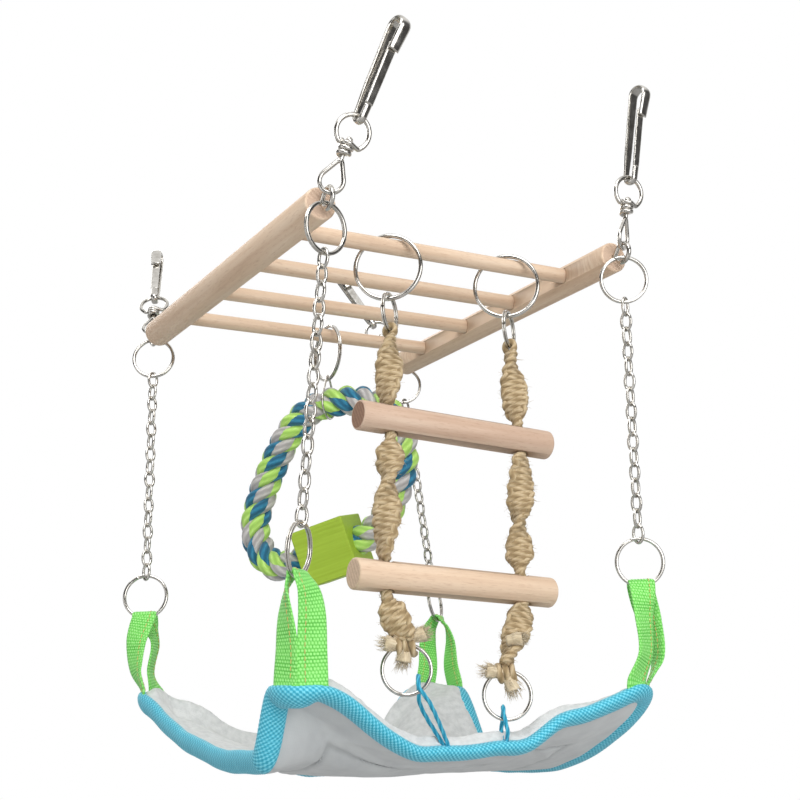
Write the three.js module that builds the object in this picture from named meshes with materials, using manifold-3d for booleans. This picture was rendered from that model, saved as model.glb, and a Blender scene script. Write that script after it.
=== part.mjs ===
// Hanging bridge with hammock, a toy for a small pet's cage.
// A wooden bridge of two rails and four rungs carries a swivelling snap hook above each corner and
// a chain below it. The chains hold a padded hammock, a rope ladder joins the near rung to the
// hammock's front edge, and a rope ring with a painted block hangs from the far rung.
// Millimetres and degrees, +Z up. X runs along the rungs from left to right, Y along the rails from
// near to far, and the origin is the middle of the bridge.

import * as THREE from 'three';
import { mergeVertices } from 'three/addons/utils/BufferGeometryUtils.js';
import Module from 'manifold-3d';

const wasm = await Module();
wasm.setup();

// Space left between pieces that touch on the real object
const GAP = 0.3;

// Wooden bridge
const RAIL_LENGTH = 164;
const RAIL_DIAMETER = 12;
const RAIL_SPACING = 128;
const RUNG_DIAMETER = 6;
const RUNG_COUNT = 4;
const RUNG_END_MARGIN = 26.5;
const RUNG_SOCKET_DEPTH = 6;
const WOOD_EDGE = 0.6;

// Screw eyes in the rails' ends
const EYE_DIAMETER = 9.4;
const EYE_WIRE = 1.8;
const EYE_SHANK_LENGTH = 12;
const EYE_STANDOFF = 0.6;

// Swivels: a drop-shaped loop with a stem, and a ring whose wire winds round the stem
const LOOP_WIDTH = 10;
const LOOP_LENGTH = 13.8;
const LOOP_WIRE = 1.7;
const STEM_HEAD = 2.8;
const SWIVEL_DIAMETER = 12.2;
const SWIVEL_WIRE = 1.6;
const SWIVEL_TURNS = 2;
const SWIVEL_PITCH = 2.2;

// Snap hooks bent from flat strip
const HOOK_LENGTH = 41;
const HOOK_WIDTH = 7.4;
const HOOK_TIP_LENGTH = 9;
const HOOK_TIP_LEAN = 0.8;
const HOOK_LUG_LENGTH = 4.5;
const GATE_OVERLAP = 2.5;
const STRIP_WIDTH = 4.5;
const STRIP_THICKNESS = 0.9;

// Chains and their rings
const CHAIN_RING_DIAMETER = 19;
const CHAIN_RING_WIRE = 1.4;
const CHAIN_LINKS = 16;
const LINK_LENGTH = 8;
const LINK_WIDTH = 5.2;
const LINK_WIRE = 1.15;
const LINK_WELD = 0.12;
const LINK_TURN = 45;

// Hammock, measured over the middle of its binding
const HAMMOCK_WIDTH = 153;
const HAMMOCK_LENGTH = 157;
const HAMMOCK_CORNER = 17;
const HAMMOCK_THICKNESS = 5;
const HAMMOCK_EDGE_THICKNESS = 2.6;
const BINDING_DIAMETER = 4.8;
const MIDDLE_SAG = 32;
const LEFT_SAG = 24;
const RIGHT_SAG = 33;
const FRONT_SAG = 24;
const BACK_SAG = 24;
const FRONT_DRAW = 11;
const SIDE_DRAW = 5;

// How full the hammock's edges hang between their corners: 1 is straight, more is rounder
const FRONT_LEFT_FULLNESS = 2.4;
const FRONT_RIGHT_FULLNESS = 1.4;
const BACK_FULLNESS = 1.8;
const SIDE_NEAR_FULLNESS = 1.8;
const SIDE_FAR_FULLNESS = 1.3;
const EDGE_FULLNESS = 2.2;

// Webbing straps at the hammock's corners
const STRAP_LENGTH = 33;
const STRAP_WIDTH = 10;
const STRAP_THICKNESS = 1.2;
const STRAP_SPREAD = 14;
const STRAP_SLACK = 0.9;

// Rope ladder
const LADDER_RING_DIAMETER = 26.5;
const LADDER_RING_WIRE = 1.6;
const LADDER_LINK_DIAMETER = 15.8;
const LADDER_FOOT_DIAMETER = 18;
const LADDER_WIRE = 1.4;
const LADDER_RUNG_LENGTH = 82;
const LADDER_RUNG_DIAMETER = 11;
const LADDER_RUNG_TILT = 3.5;
const LADDER_UPPER_DROP = 70;
const LADDER_LOWER_DROP = 127;
const LEFT_ROPE_TOP = -23;
const LEFT_ROPE_UPPER = -27;
const LEFT_ROPE_LOWER = -33.5;
const LEFT_ROPE_FOOT = -28.5;
const LEFT_TIE = -13;
const RIGHT_ROPE_TOP = 30.5;
const RIGHT_ROPE_UPPER = 29.5;
const RIGHT_ROPE_LOWER = 23;
const RIGHT_ROPE_FOOT = 12;
const RIGHT_TIE = 10;
const LADDER_RING_TURN = -40;
const LADDER_LINK_TURN = 40;
const LADDER_FOOT_TURN = -30;
const JUTE_NECK = 4.4;
const JUTE_KNOT = 11.5;
const JUTE_HOLE = 6;
const TIE_CORD = 1.6;
const TIE_SLACK = 2;
const TIE_RISE = 2;
const TIE_BEND = 2.4;
const LEFT_TIE_LENGTH = 19;
const RIGHT_TIE_LENGTH = 9;

// Rope toy
const TOY_TURN = -50;
const TOY_ROPE_DIAMETER = 11.5;
const TOY_BLOCK = 25;
const TOY_BLOCK_TILT = 14;
const TOY_BLOCK_ROLL = 11;
const TOY_TIE_WIRE = 1;
const TOY_RING_X = 7.5;

// Derived radii of wire centre lines
const eyeRadius = (EYE_DIAMETER - EYE_WIRE) / 2;
const chainRingRadius = (CHAIN_RING_DIAMETER - CHAIN_RING_WIRE) / 2;
const ladderRingRadius = (LADDER_RING_DIAMETER - LADDER_RING_WIRE) / 2;
const ladderLinkRadius = (LADDER_LINK_DIAMETER - LADDER_WIRE) / 2;
const ladderFootRadius = (LADDER_FOOT_DIAMETER - LADDER_WIRE) / 2;
const swivelRadius = (SWIVEL_DIAMETER - SWIVEL_WIRE) / 2;

const UP = new THREE.Vector3(0, 0, 1);
const radians = THREE.MathUtils.degToRad;

// Where each corner's hook leans, and how its loops and rings are turned about their lines
const CORNERS = [
  {
    name: 'near_left',
    x: -1,
    y: -1,
    lean: [22, -20, 63],
    loopTurn: -30,
    swivelTurn: -3,
    topTurn: 16,
    footTurn: 40,
  },
  {
    name: 'far_left',
    x: -1,
    y: 1,
    lean: [16, 39, 55],
    loopTurn: -15,
    swivelTurn: -30,
    topTurn: -30,
    footTurn: -30,
  },
  {
    name: 'near_right',
    x: 1,
    y: -1,
    lean: [9, -9, 68],
    loopTurn: 30,
    swivelTurn: -3,
    topTurn: -30,
    footTurn: -30,
  },
  {
    name: 'far_right',
    x: 1,
    y: 1,
    lean: [-16, 35, 58],
    loopTurn: 15,
    swivelTurn: -30,
    topTurn: -30,
    footTurn: 40,
  },
];

// Each rope of the ladder: where it crosses the big ring, both rungs and the foot ring along X, where
// its tie meets the hammock, how long the tie is, and its knotted swellings as shares of the runs above,
// between and below the rungs
const ROPES = [
  {
    name: 'left',
    top: LEFT_ROPE_TOP,
    upper: LEFT_ROPE_UPPER,
    lower: LEFT_ROPE_LOWER,
    foot: LEFT_ROPE_FOOT,
    tie: LEFT_TIE,
    tieLength: LEFT_TIE_LENGTH,
    knots: [[0.45], [0.15, 0.55], [0.5]],
  },
  {
    name: 'right',
    top: RIGHT_ROPE_TOP,
    upper: RIGHT_ROPE_UPPER,
    lower: RIGHT_ROPE_LOWER,
    foot: RIGHT_ROPE_FOOT,
    tie: RIGHT_TIE,
    tieLength: RIGHT_TIE_LENGTH,
    knots: [[0.5], [0.4, 0.82], [0.45]],
  },
];

// The rope ring's free run from the block's left face round to its right face, in the ring's own
// plane: across from the hanging point, and down from the far rung
const TOY_ROUTE = [
  [-24, 104], [-31, 101], [-35.8, 93.5], [-37.3, 85], [-35.3, 75.5], [-31, 64.5], [-25.5, 53.5],
  [-18.5, 42.5], [-10, 35], [0, 32], [12, 32.3], [23, 35.5], [31.5, 43.5], [35, 55], [34, 66.5],
  [30, 78], [23.3, 88.8],
];
const TOY_BLOCK_CENTRE = [0.6, 98.8];

// Finishes, from the photograph
const WOOD = { color: 0xd9b99b, roughness: 0.7, metalness: 0 };
const NICKEL = { color: 0xc9c6c0, roughness: 0.25, metalness: 1 };
const JUTE = { color: 0xb79a72, roughness: 0.95, metalness: 0 };
const COTTON = { color: 0x9fc46a, roughness: 0.95, metalness: 0 };
const GREEN_PAINT = { color: 0x95b82c, roughness: 0.6, metalness: 0 };
const GREEN_WEBBING = { color: 0x6bd350, roughness: 0.85, metalness: 0 };
const BLUE_WEBBING = { color: 0x4fb9d8, roughness: 0.85, metalness: 0 };
const BLUE_CORD = { color: 0x36a9cc, roughness: 0.85, metalness: 0 };
const PLUSH = { color: 0xe8e8e6, roughness: 1, metalness: 0 };

// Joining and cutting

function toSolid(geometry) {
  const bare = geometry.clone();
  bare.deleteAttribute('normal');
  bare.deleteAttribute('uv');
  const merged = mergeVertices(bare, 1e-4);
  const count = merged.index ? merged.index.count : merged.attributes.position.count;
  const order = merged.index ? merged.index.array : Uint32Array.from({ length: count }, (_, i) => i);
  return new wasm.Manifold(new wasm.Mesh({
    numProp: 3,
    vertProperties: Float32Array.from(merged.attributes.position.array),
    triVerts: Uint32Array.from(order),
  }));
}

function toGeometry(solid) {
  const mesh = solid.getMesh();
  const geometry = new THREE.BufferGeometry();
  geometry.setAttribute('position', new THREE.BufferAttribute(Float32Array.from(mesh.vertProperties), 3));
  geometry.setIndex(new THREE.BufferAttribute(Uint32Array.from(mesh.triVerts), 1));
  geometry.computeVertexNormals();
  return geometry;
}

function join(...geometries) {
  return toGeometry(geometries.map(toSolid).reduce((all, next) => all.add(next)));
}

function cut(geometry, ...tools) {
  return toGeometry(tools.map(toSolid).reduce((left, tool) => left.subtract(tool), toSolid(geometry)));
}

// Shapes

function piece(name, geometry, finish) {
  const mesh = new THREE.Mesh(geometry, new THREE.MeshStandardMaterial(finish));
  mesh.name = name;
  return mesh;
}

// Round bar along Z, centred, with its end edges broken
function dowel(diameter, length, sides = 20) {
  const r = diameter / 2;
  const h = length / 2;
  const face = r - WOOD_EDGE;
  const profile = [[0, -h], [face, -h], [r, WOOD_EDGE - h], [r, h - WOOD_EDGE], [face, h], [0, h]];
  const points = profile.map(([x, y]) => new THREE.Vector2(x, y));
  return new THREE.LatheGeometry(points, sides).rotateX(Math.PI / 2);
}

// Plain round bar along Z, from one height to another
function bar(diameter, low, high, sides = 8) {
  const geometry = new THREE.CylinderGeometry(diameter / 2, diameter / 2, high - low, sides);
  return geometry.rotateX(Math.PI / 2).translate(0, 0, (low + high) / 2);
}

// Wire ring in the XZ plane, centred
function wireRing(radius, wire, steps = 16) {
  return new THREE.TorusGeometry(radius, wire / 2, 5, steps).rotateX(Math.PI / 2);
}

// Outline of a cord drawn round two circles, the lower at height 0 and the upper at a height
class Belt extends THREE.Curve {
  constructor(lowRadius, highRadius, height) {
    super();
    const angle = Math.asin((lowRadius - highRadius) / height);
    this.path = new THREE.Path();
    this.path.absarc(0, 0, lowRadius, Math.PI - angle, 2 * Math.PI + angle, false);
    this.path.absarc(0, height, highRadius, angle, Math.PI - angle, false);
    this.path.closePath();
  }

  getPoint(t, target = new THREE.Vector3()) {
    const flat = this.path.getPoint(t);
    return target.set(flat.x, 0, flat.y);
  }
}

function beltLoop(lowRadius, highRadius, height, wire, steps, sides) {
  return new THREE.TubeGeometry(new Belt(lowRadius, highRadius, height), steps, wire / 2, sides, true);
}

// Round section for a cord or wire that follows an open curve
function along(curve, diameter, sides, steps) {
  const section = new THREE.Shape();
  for (let i = 0; i < sides; i += 1) {
    const a = (2 * Math.PI * i) / sides;
    const x = (diameter / 2) * Math.cos(a);
    const y = (diameter / 2) * Math.sin(a);
    if (i === 0) section.moveTo(x, y);
    else section.lineTo(x, y);
  }
  section.closePath();
  return new THREE.ExtrudeGeometry(section, { steps, extrudePath: curve, bevelEnabled: false });
}

// Closed skin over rings of points, capped at both ends by the rings' own middles
function skin(rings) {
  const sides = rings[0].length;
  const points = rings.flat();
  const middle = (ring) => ring.reduce((sum, p) => sum.add(p), new THREE.Vector3()).divideScalar(sides);
  points.push(middle(rings[0]), middle(rings[rings.length - 1]));
  const order = [];
  for (let i = 0; i < rings.length - 1; i += 1) {
    for (let j = 0; j < sides; j += 1) {
      const a = i * sides + j;
      const b = i * sides + ((j + 1) % sides);
      order.push(a, b, b + sides, a, b + sides, a + sides);
    }
  }
  const last = (rings.length - 1) * sides;
  for (let j = 0; j < sides; j += 1) {
    const k = (j + 1) % sides;
    order.push(points.length - 2, k, j, points.length - 1, last + j, last + k);
  }
  const geometry = new THREE.BufferGeometry();
  geometry.setAttribute('position', new THREE.Float32BufferAttribute(points.flatMap((p) => p.toArray()), 3));
  geometry.setIndex(order);
  geometry.computeVertexNormals();
  return geometry;
}

// Flat shape drawn in Y and Z, thickened along X and centred on it
function thicken(shape, width, curveSegments) {
  const geometry = new THREE.ExtrudeGeometry(shape, { depth: width, bevelEnabled: false, curveSegments });
  const toSide = new THREE.Matrix4().makeBasis(
    new THREE.Vector3(0, 1, 0), new THREE.Vector3(0, 0, 1), new THREE.Vector3(1, 0, 0));
  return geometry.translate(0, 0, -width / 2).applyMatrix4(toSide);
}

function group(parent, x, y, z) {
  const child = new THREE.Group();
  child.position.set(x, y, z);
  parent.add(child);
  return child;
}

// Turns a group so that its -Z points down a line and its X lies as near a tangent as it can
function hangAlong(child, down, tangent) {
  const z = down.clone().negate().normalize();
  const x = tangent.clone().addScaledVector(z, -tangent.dot(z)).normalize();
  const y = new THREE.Vector3().crossVectors(z, x);
  child.quaternion.setFromRotationMatrix(new THREE.Matrix4().makeBasis(x, y, z));
}

function headed(degrees) {
  return new THREE.Vector3(Math.cos(radians(degrees)), Math.sin(radians(degrees)), 0);
}

// Bridge

const bridge = new THREE.Group();
const railX = RAIL_SPACING / 2;
const railEnd = RAIL_LENGTH / 2;
const eyeY = railEnd + EYE_STANDOFF + EYE_DIAMETER / 2;
const rungPitch = (RAIL_LENGTH - 2 * RUNG_END_MARGIN) / (RUNG_COUNT - 1);
const rungY = Array.from({ length: RUNG_COUNT }, (_, i) => (i - (RUNG_COUNT - 1) / 2) * rungPitch);
const nearRungY = rungY[0];
const farRungY = rungY[RUNG_COUNT - 1];
const socketBottom = railX - RAIL_DIAMETER / 2 + RUNG_SOCKET_DEPTH;

function rail(side) {
  const sockets = rungY.map((y) => {
    const low = railX - RAIL_DIAMETER;
    const drill = bar(RUNG_DIAMETER + 2 * GAP, low - railX, socketBottom - railX, 12);
    return drill.rotateY(Math.PI / 2).rotateZ(side < 0 ? Math.PI : 0).translate(0, y, 0);
  });
  const screwHoles = [-1, 1].map((end) => {
    const drill = bar(EYE_WIRE + 2 * GAP, -EYE_SHANK_LENGTH - GAP, RAIL_DIAMETER);
    return drill.rotateX(end * -Math.PI / 2).translate(0, end * railEnd, 0);
  });
  return cut(dowel(RAIL_DIAMETER, RAIL_LENGTH).rotateX(Math.PI / 2), ...sockets, ...screwHoles);
}

function screwEye() {
  const ring = new THREE.TorusGeometry(eyeRadius, EYE_WIRE / 2, 5, 14).rotateY(Math.PI / 2);
  const shankTop = EYE_WIRE / 2 - EYE_DIAMETER / 2;
  const shank = bar(EYE_WIRE, shankTop - EYE_WIRE / 2 - EYE_STANDOFF - EYE_SHANK_LENGTH, shankTop);
  return join(ring, shank.rotateX(-Math.PI / 2));
}

for (const [name, side] of [['left', -1], ['right', 1]]) {
  const mesh = piece(`rail_${name}`, rail(side), WOOD);
  mesh.position.x = side * railX;
  bridge.add(mesh);
}
rungY.forEach((y, i) => {
  const wood = dowel(RUNG_DIAMETER, 2 * (socketBottom - GAP), 16).rotateY(Math.PI / 2);
  const mesh = piece(`rung_${i + 1}`, wood, WOOD);
  mesh.position.y = y;
  bridge.add(mesh);
});

// Where a loop pulled in a direction rests in a screw eye: the middle of the eye's wire on that side
function eyeContact(direction) {
  return new THREE.Vector3(0, direction.y, direction.z).setLength(eyeRadius);
}

// Hooks and swivels, built upright from the middle of the screw eye's wire

const loopRadius = (LOOP_WIDTH - LOOP_WIRE) / 2;
const loopBottom = -(EYE_WIRE / 2 + LOOP_WIRE / 2 + GAP);
const loopTop = loopBottom + LOOP_LENGTH - LOOP_WIRE;
const windingStart = loopTop + LOOP_WIRE / 2 + GAP + SWIVEL_WIRE / 2;
const swivelCentre = windingStart + SWIVEL_TURNS * SWIVEL_PITCH + swivelRadius;
const hookPivot = swivelCentre + swivelRadius;

function swivelLoop() {
  const neck = LOOP_WIRE / 2 + 0.05;
  const loop = beltLoop(loopRadius, neck, LOOP_LENGTH - LOOP_WIRE - loopRadius - neck, LOOP_WIRE, 18, 5);
  const headZ = swivelCentre - swivelRadius + SWIVEL_WIRE / 2 + GAP + STEM_HEAD / 2;
  const stem = bar(LOOP_WIRE, loopTop - LOOP_WIRE / 2, headZ);
  const head = new THREE.SphereGeometry(STEM_HEAD / 2, 6, 4).translate(0, 0, headZ);
  return join(loop.translate(0, 0, loopBottom + loopRadius), stem, head);
}

// One unbroken wire: it winds up round the stem, then runs round the ring
function swivelWire() {
  const windingRadius = LOOP_WIRE / 2 + GAP + SWIVEL_WIRE / 2;
  const points = [];
  const turnSteps = 8;
  for (let i = 0; i <= SWIVEL_TURNS * turnSteps; i += 1) {
    const a = (2 * Math.PI * i) / turnSteps - Math.PI / 2;
    const z = windingStart - swivelCentre + (SWIVEL_PITCH * i) / turnSteps;
    points.push(new THREE.Vector3(windingRadius * Math.cos(a), windingRadius * Math.sin(a), z));
  }
  const ringSteps = 14;
  const ringStart = -48;
  const ringEnd = 226;
  for (let i = 0; i <= ringSteps; i += 1) {
    const a = radians(ringStart + ((ringEnd - ringStart) * i) / ringSteps);
    points.push(new THREE.Vector3(swivelRadius * Math.cos(a), 0, swivelRadius * Math.sin(a)));
  }
  return new THREE.CatmullRomCurve3(points, false, 'centripetal');
}

function leastGap(curve, wire, samples) {
  const points = curve.getSpacedPoints(samples);
  const step = curve.getLength() / samples;
  const apart = Math.ceil((2 * wire) / step);
  let least = Infinity;
  for (let i = 0; i < points.length; i += 1) {
    for (let j = i + apart; j < points.length; j += 1) {
      least = Math.min(least, points[i].distanceTo(points[j]) - wire);
    }
  }
  return least;
}

const wire = swivelWire();
console.log(`least gap of the swivel's winding to itself: ${leastGap(wire, SWIVEL_WIRE, 200).toFixed(2)} mm`);

const cupSag = swivelRadius - Math.sqrt(swivelRadius ** 2 - (STRIP_WIDTH / 2) ** 2);
const cupInner = SWIVEL_WIRE / 2 + cupSag + GAP;
const cupOuter = cupInner + STRIP_THICKNESS;
const crownOuter = HOOK_WIDTH / 2;
const crownInner = crownOuter - STRIP_THICKNESS;
const crownZ = HOOK_LENGTH - cupOuter - crownOuter;
const tipZ = crownZ - HOOK_TIP_LENGTH;

function hookBody() {
  const shape = new THREE.Shape();
  shape.moveTo(cupOuter, HOOK_LUG_LENGTH);
  shape.lineTo(cupOuter, 0);
  shape.absarc(0, 0, cupOuter, 0, -Math.PI, true);
  shape.lineTo(-crownOuter, crownZ);
  shape.absarc(0, crownZ, crownOuter, Math.PI, 0, true);
  shape.lineTo(crownOuter - HOOK_TIP_LEAN, tipZ);
  shape.lineTo(crownInner - HOOK_TIP_LEAN, tipZ);
  shape.lineTo(crownInner, crownZ);
  shape.absarc(0, crownZ, crownInner, 0, Math.PI, false);
  shape.lineTo(-cupInner, 0);
  shape.absarc(0, 0, cupInner, -Math.PI, 0, false);
  shape.lineTo(cupInner, HOOK_LUG_LENGTH);
  shape.closePath();
  return thicken(shape, STRIP_WIDTH, 6);
}

function hookGate() {
  const top = tipZ + GATE_OVERLAP;
  const outerTop = crownInner - HOOK_TIP_LEAN - GAP;
  const shape = new THREE.Shape();
  shape.moveTo(cupInner, HOOK_LUG_LENGTH + GAP);
  shape.lineTo(cupOuter, HOOK_LUG_LENGTH + GAP);
  shape.lineTo(outerTop, top);
  shape.lineTo(outerTop - STRIP_THICKNESS, top);
  shape.closePath();
  return thicken(shape, STRIP_WIDTH, 1);
}

function addHook(corner, eye) {
  const lean = new THREE.Vector3(...corner.lean);
  const line = group(eye, ...eyeContact(lean));
  line.quaternion.setFromUnitVectors(UP, lean.normalize());
  const loop = piece(`swivel_loop_${corner.name}`, swivelLoop(), NICKEL);
  loop.rotation.z = radians(corner.loopTurn);
  line.add(loop);
  const swivel = group(line, 0, 0, swivelCentre);
  swivel.rotation.z = radians(corner.swivelTurn);
  swivel.add(piece(`swivel_ring_${corner.name}`, along(wire, SWIVEL_WIRE, 5, 38), NICKEL));
  const hook = group(swivel, 0, 0, swivelRadius);
  hook.rotation.z = Math.PI;
  hook.add(piece(`hook_body_${corner.name}`, hookBody(), NICKEL));
  hook.add(piece(`hook_gate_${corner.name}`, hookGate(), NICKEL));
}

// Chains, built straight down from the middle of the screw eye's wire

const ringPass = CHAIN_RING_WIRE / 2 + LINK_WIRE / 2 + GAP;
const topRingZ = EYE_WIRE / 2 + CHAIN_RING_WIRE / 2 + GAP - chainRingRadius;
const chainTop = topRingZ - chainRingRadius + ringPass;
const linkSpan = LINK_LENGTH - LINK_WIRE;
const linkStep = linkSpan - LINK_WIRE + LINK_WELD;
const chainBottom = chainTop - (CHAIN_LINKS - 1) * linkStep - linkSpan;
const footRingZ = chainBottom + ringPass - chainRingRadius;
const hangerLength = chainRingRadius - footRingZ;

function chain() {
  const r = (LINK_WIDTH - LINK_WIRE) / 2;
  const links = Array.from({ length: CHAIN_LINKS }, (_, i) => {
    const link = beltLoop(r, r, linkSpan - 2 * r, LINK_WIRE, 8, 4);
    const turn = radians(LINK_TURN) * (i % 2 ? -1 : 1);
    return link.rotateZ(turn).translate(0, 0, chainTop - i * linkStep - linkSpan + r);
  });
  return join(...links);
}

const halfWidth = HAMMOCK_WIDTH / 2;
const halfLength = HAMMOCK_LENGTH / 2;
const cornerInset = HAMMOCK_CORNER * (1 - Math.SQRT1_2);
const anchorX = halfWidth - cornerInset;
const anchorY = halfLength - cornerInset;
const anchorZ = -eyeRadius - Math.sqrt(hangerLength ** 2 - (anchorX - railX) ** 2 - (anchorY - eyeY) ** 2);

function addHanger(corner, eye) {
  const anchor = new THREE.Vector3(corner.x * (anchorX - railX), corner.y * (anchorY - eyeY), anchorZ);
  const contact = eyeContact(anchor);
  const hanger = group(eye, ...contact);
  hangAlong(hanger, anchor.sub(contact), headed(0));
  const top = piece(`top_ring_${corner.name}`, wireRing(chainRingRadius, CHAIN_RING_WIRE), NICKEL);
  top.position.z = topRingZ;
  top.rotation.z = radians(corner.topTurn);
  const foot = piece(`bottom_ring_${corner.name}`, wireRing(chainRingRadius, CHAIN_RING_WIRE), NICKEL);
  foot.position.z = footRingZ;
  foot.rotation.z = radians(corner.footTurn);
  const links = piece(`chain_${corner.name}`, chain(), NICKEL);
  links.rotation.z = radians((corner.topTurn + corner.footTurn) / 2);
  hanger.add(top, links, foot);
}

for (const corner of CORNERS) {
  const eye = group(bridge, corner.x * railX, corner.y * eyeY, 0);
  const ring = piece(`screw_eye_${corner.name}`, screwEye(), NICKEL);
  ring.rotation.z = corner.y > 0 ? 0 : Math.PI;
  eye.add(ring);
  addHook(corner, eye);
  addHanger(corner, eye);
}

// Hammock

const hammock = new THREE.Group();
const cornerZ = anchorZ - STRAP_LENGTH;
const bindingRadius = BINDING_DIAMETER / 2;

// A point of the hanging cloth, from its flat place across and along, each from -1 to 1
function hang(u, v) {
  const side = Math.abs(u) ** EDGE_FULLNESS;
  const end = Math.abs(v) ** EDGE_FULLNESS;
  const sideFullness = v < 0 ? SIDE_NEAR_FULLNESS : SIDE_FAR_FULLNESS;
  const frontFullness = u < 0 ? FRONT_LEFT_FULLNESS : FRONT_RIGHT_FULLNESS;
  const endFullness = v < 0 ? frontFullness : BACK_FULLNESS;
  const sideSag = (u < 0 ? LEFT_SAG : RIGHT_SAG) * (1 - Math.abs(v) ** sideFullness);
  const endSag = (v < 0 ? FRONT_SAG : BACK_SAG) * (1 - Math.abs(u) ** endFullness);
  const sag = sideSag * side + endSag * end + MIDDLE_SAG * (1 - side) * (1 - end);
  const x = u * (halfWidth - SIDE_DRAW * (1 - v * v));
  const y = v * (halfLength - FRONT_DRAW * (1 - u * u));
  return new THREE.Vector3(x, y, cornerZ - sag);
}

// Rounded oblong of a hem, set in from the binding's middle line
function hem(inset) {
  const x = halfWidth - inset;
  const y = halfLength - inset;
  const r = Math.max(HAMMOCK_CORNER - inset, WOOD_EDGE);
  const path = new THREE.Path();
  path.absarc(x - r, y - r, r, 0, Math.PI / 2, false);
  path.absarc(r - x, y - r, r, Math.PI / 2, Math.PI, false);
  path.absarc(r - x, r - y, r, Math.PI, 1.5 * Math.PI, false);
  path.absarc(x - r, r - y, r, 1.5 * Math.PI, 2 * Math.PI, false);
  path.closePath();
  return path;
}

class HemLine extends THREE.Curve {
  constructor(path) {
    super();
    this.path = path;
  }

  getPoint(t, target = new THREE.Vector3()) {
    const flat = this.path.getPoint(t);
    return target.copy(hang(flat.x / halfWidth, flat.y / halfLength));
  }
}

function pad() {
  const sectors = 44;
  const bands = 7;
  const edge = hem(bindingRadius + 2 * GAP).getSpacedPoints(sectors).slice(0, sectors);
  const layer = (k, sign) => edge.map((p) => {
    const point = hang((k * p.x) / halfWidth, (k * p.y) / halfLength);
    const half = (HAMMOCK_EDGE_THICKNESS + (HAMMOCK_THICKNESS - HAMMOCK_EDGE_THICKNESS) * (1 - k ** 4)) / 2;
    return point.add(new THREE.Vector3(0, 0, sign * half));
  });
  const shares = Array.from({ length: bands }, (_, i) => (i + 1) / bands);
  const under = shares.map((k) => layer(k, -1));
  const over = shares.map((k) => layer(k, 1)).reverse();
  return skin([...under, ...over]);
}

function strap(length) {
  const sag = chainRingRadius - Math.sqrt(chainRingRadius ** 2 - (STRAP_WIDTH / 2) ** 2);
  const inner = CHAIN_RING_WIRE / 2 + sag + STRAP_SLACK;
  const outline = (r, spread, base) => {
    const path = new THREE.Shape();
    path.moveTo(-spread, base);
    path.lineTo(spread, base);
    path.lineTo(r, 0);
    path.absarc(0, 0, r, 0, Math.PI, false);
    path.closePath();
    return path;
  };
  const shape = outline(inner + STRAP_THICKNESS, STRAP_SPREAD / 2, -length);
  shape.holes.push(outline(inner, STRAP_SPREAD / 2 - STRAP_THICKNESS, STRAP_THICKNESS - length));
  return thicken(shape, STRAP_WIDTH, 6);
}

hammock.add(piece('hammock_pad', pad(), PLUSH));
const hemLine = new HemLine(hem(0));
const binding = new THREE.TubeGeometry(hemLine, 72, bindingRadius, 6, true);
hammock.add(piece('hammock_binding', binding, BLUE_WEBBING));
for (const corner of CORNERS) {
  const foot = hang((corner.x * anchorX) / halfWidth, (corner.y * anchorY) / halfLength);
  const length = anchorZ - foot.z - bindingRadius - GAP;
  const strapGroup = group(hammock, corner.x * anchorX, corner.y * anchorY, anchorZ);
  strapGroup.rotation.z = radians(corner.footTurn);
  strapGroup.add(piece(`strap_${corner.name}`, strap(length), GREEN_WEBBING));
}

// Rope ladder

const ladder = new THREE.Group();
const ladderRingTop = RUNG_DIAMETER / 2 + LADDER_RING_WIRE / 2 + GAP;
const ladderRingZ = ladderRingTop - ladderRingRadius;
const ladderLinkTop = ladderRingZ - ladderRingRadius + LADDER_RING_WIRE / 2 + LADDER_WIRE / 2 + GAP;
const ladderLinkZ = ladderLinkTop - ladderLinkRadius;
const tieBase = (rope) => hang(rope.tie / halfWidth, -1);

function footRingAt(rope) {
  const base = tieBase(rope);
  return new THREE.Vector3(rope.foot, base.y, base.z + rope.tieLength + ladderFootRadius);
}

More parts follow.
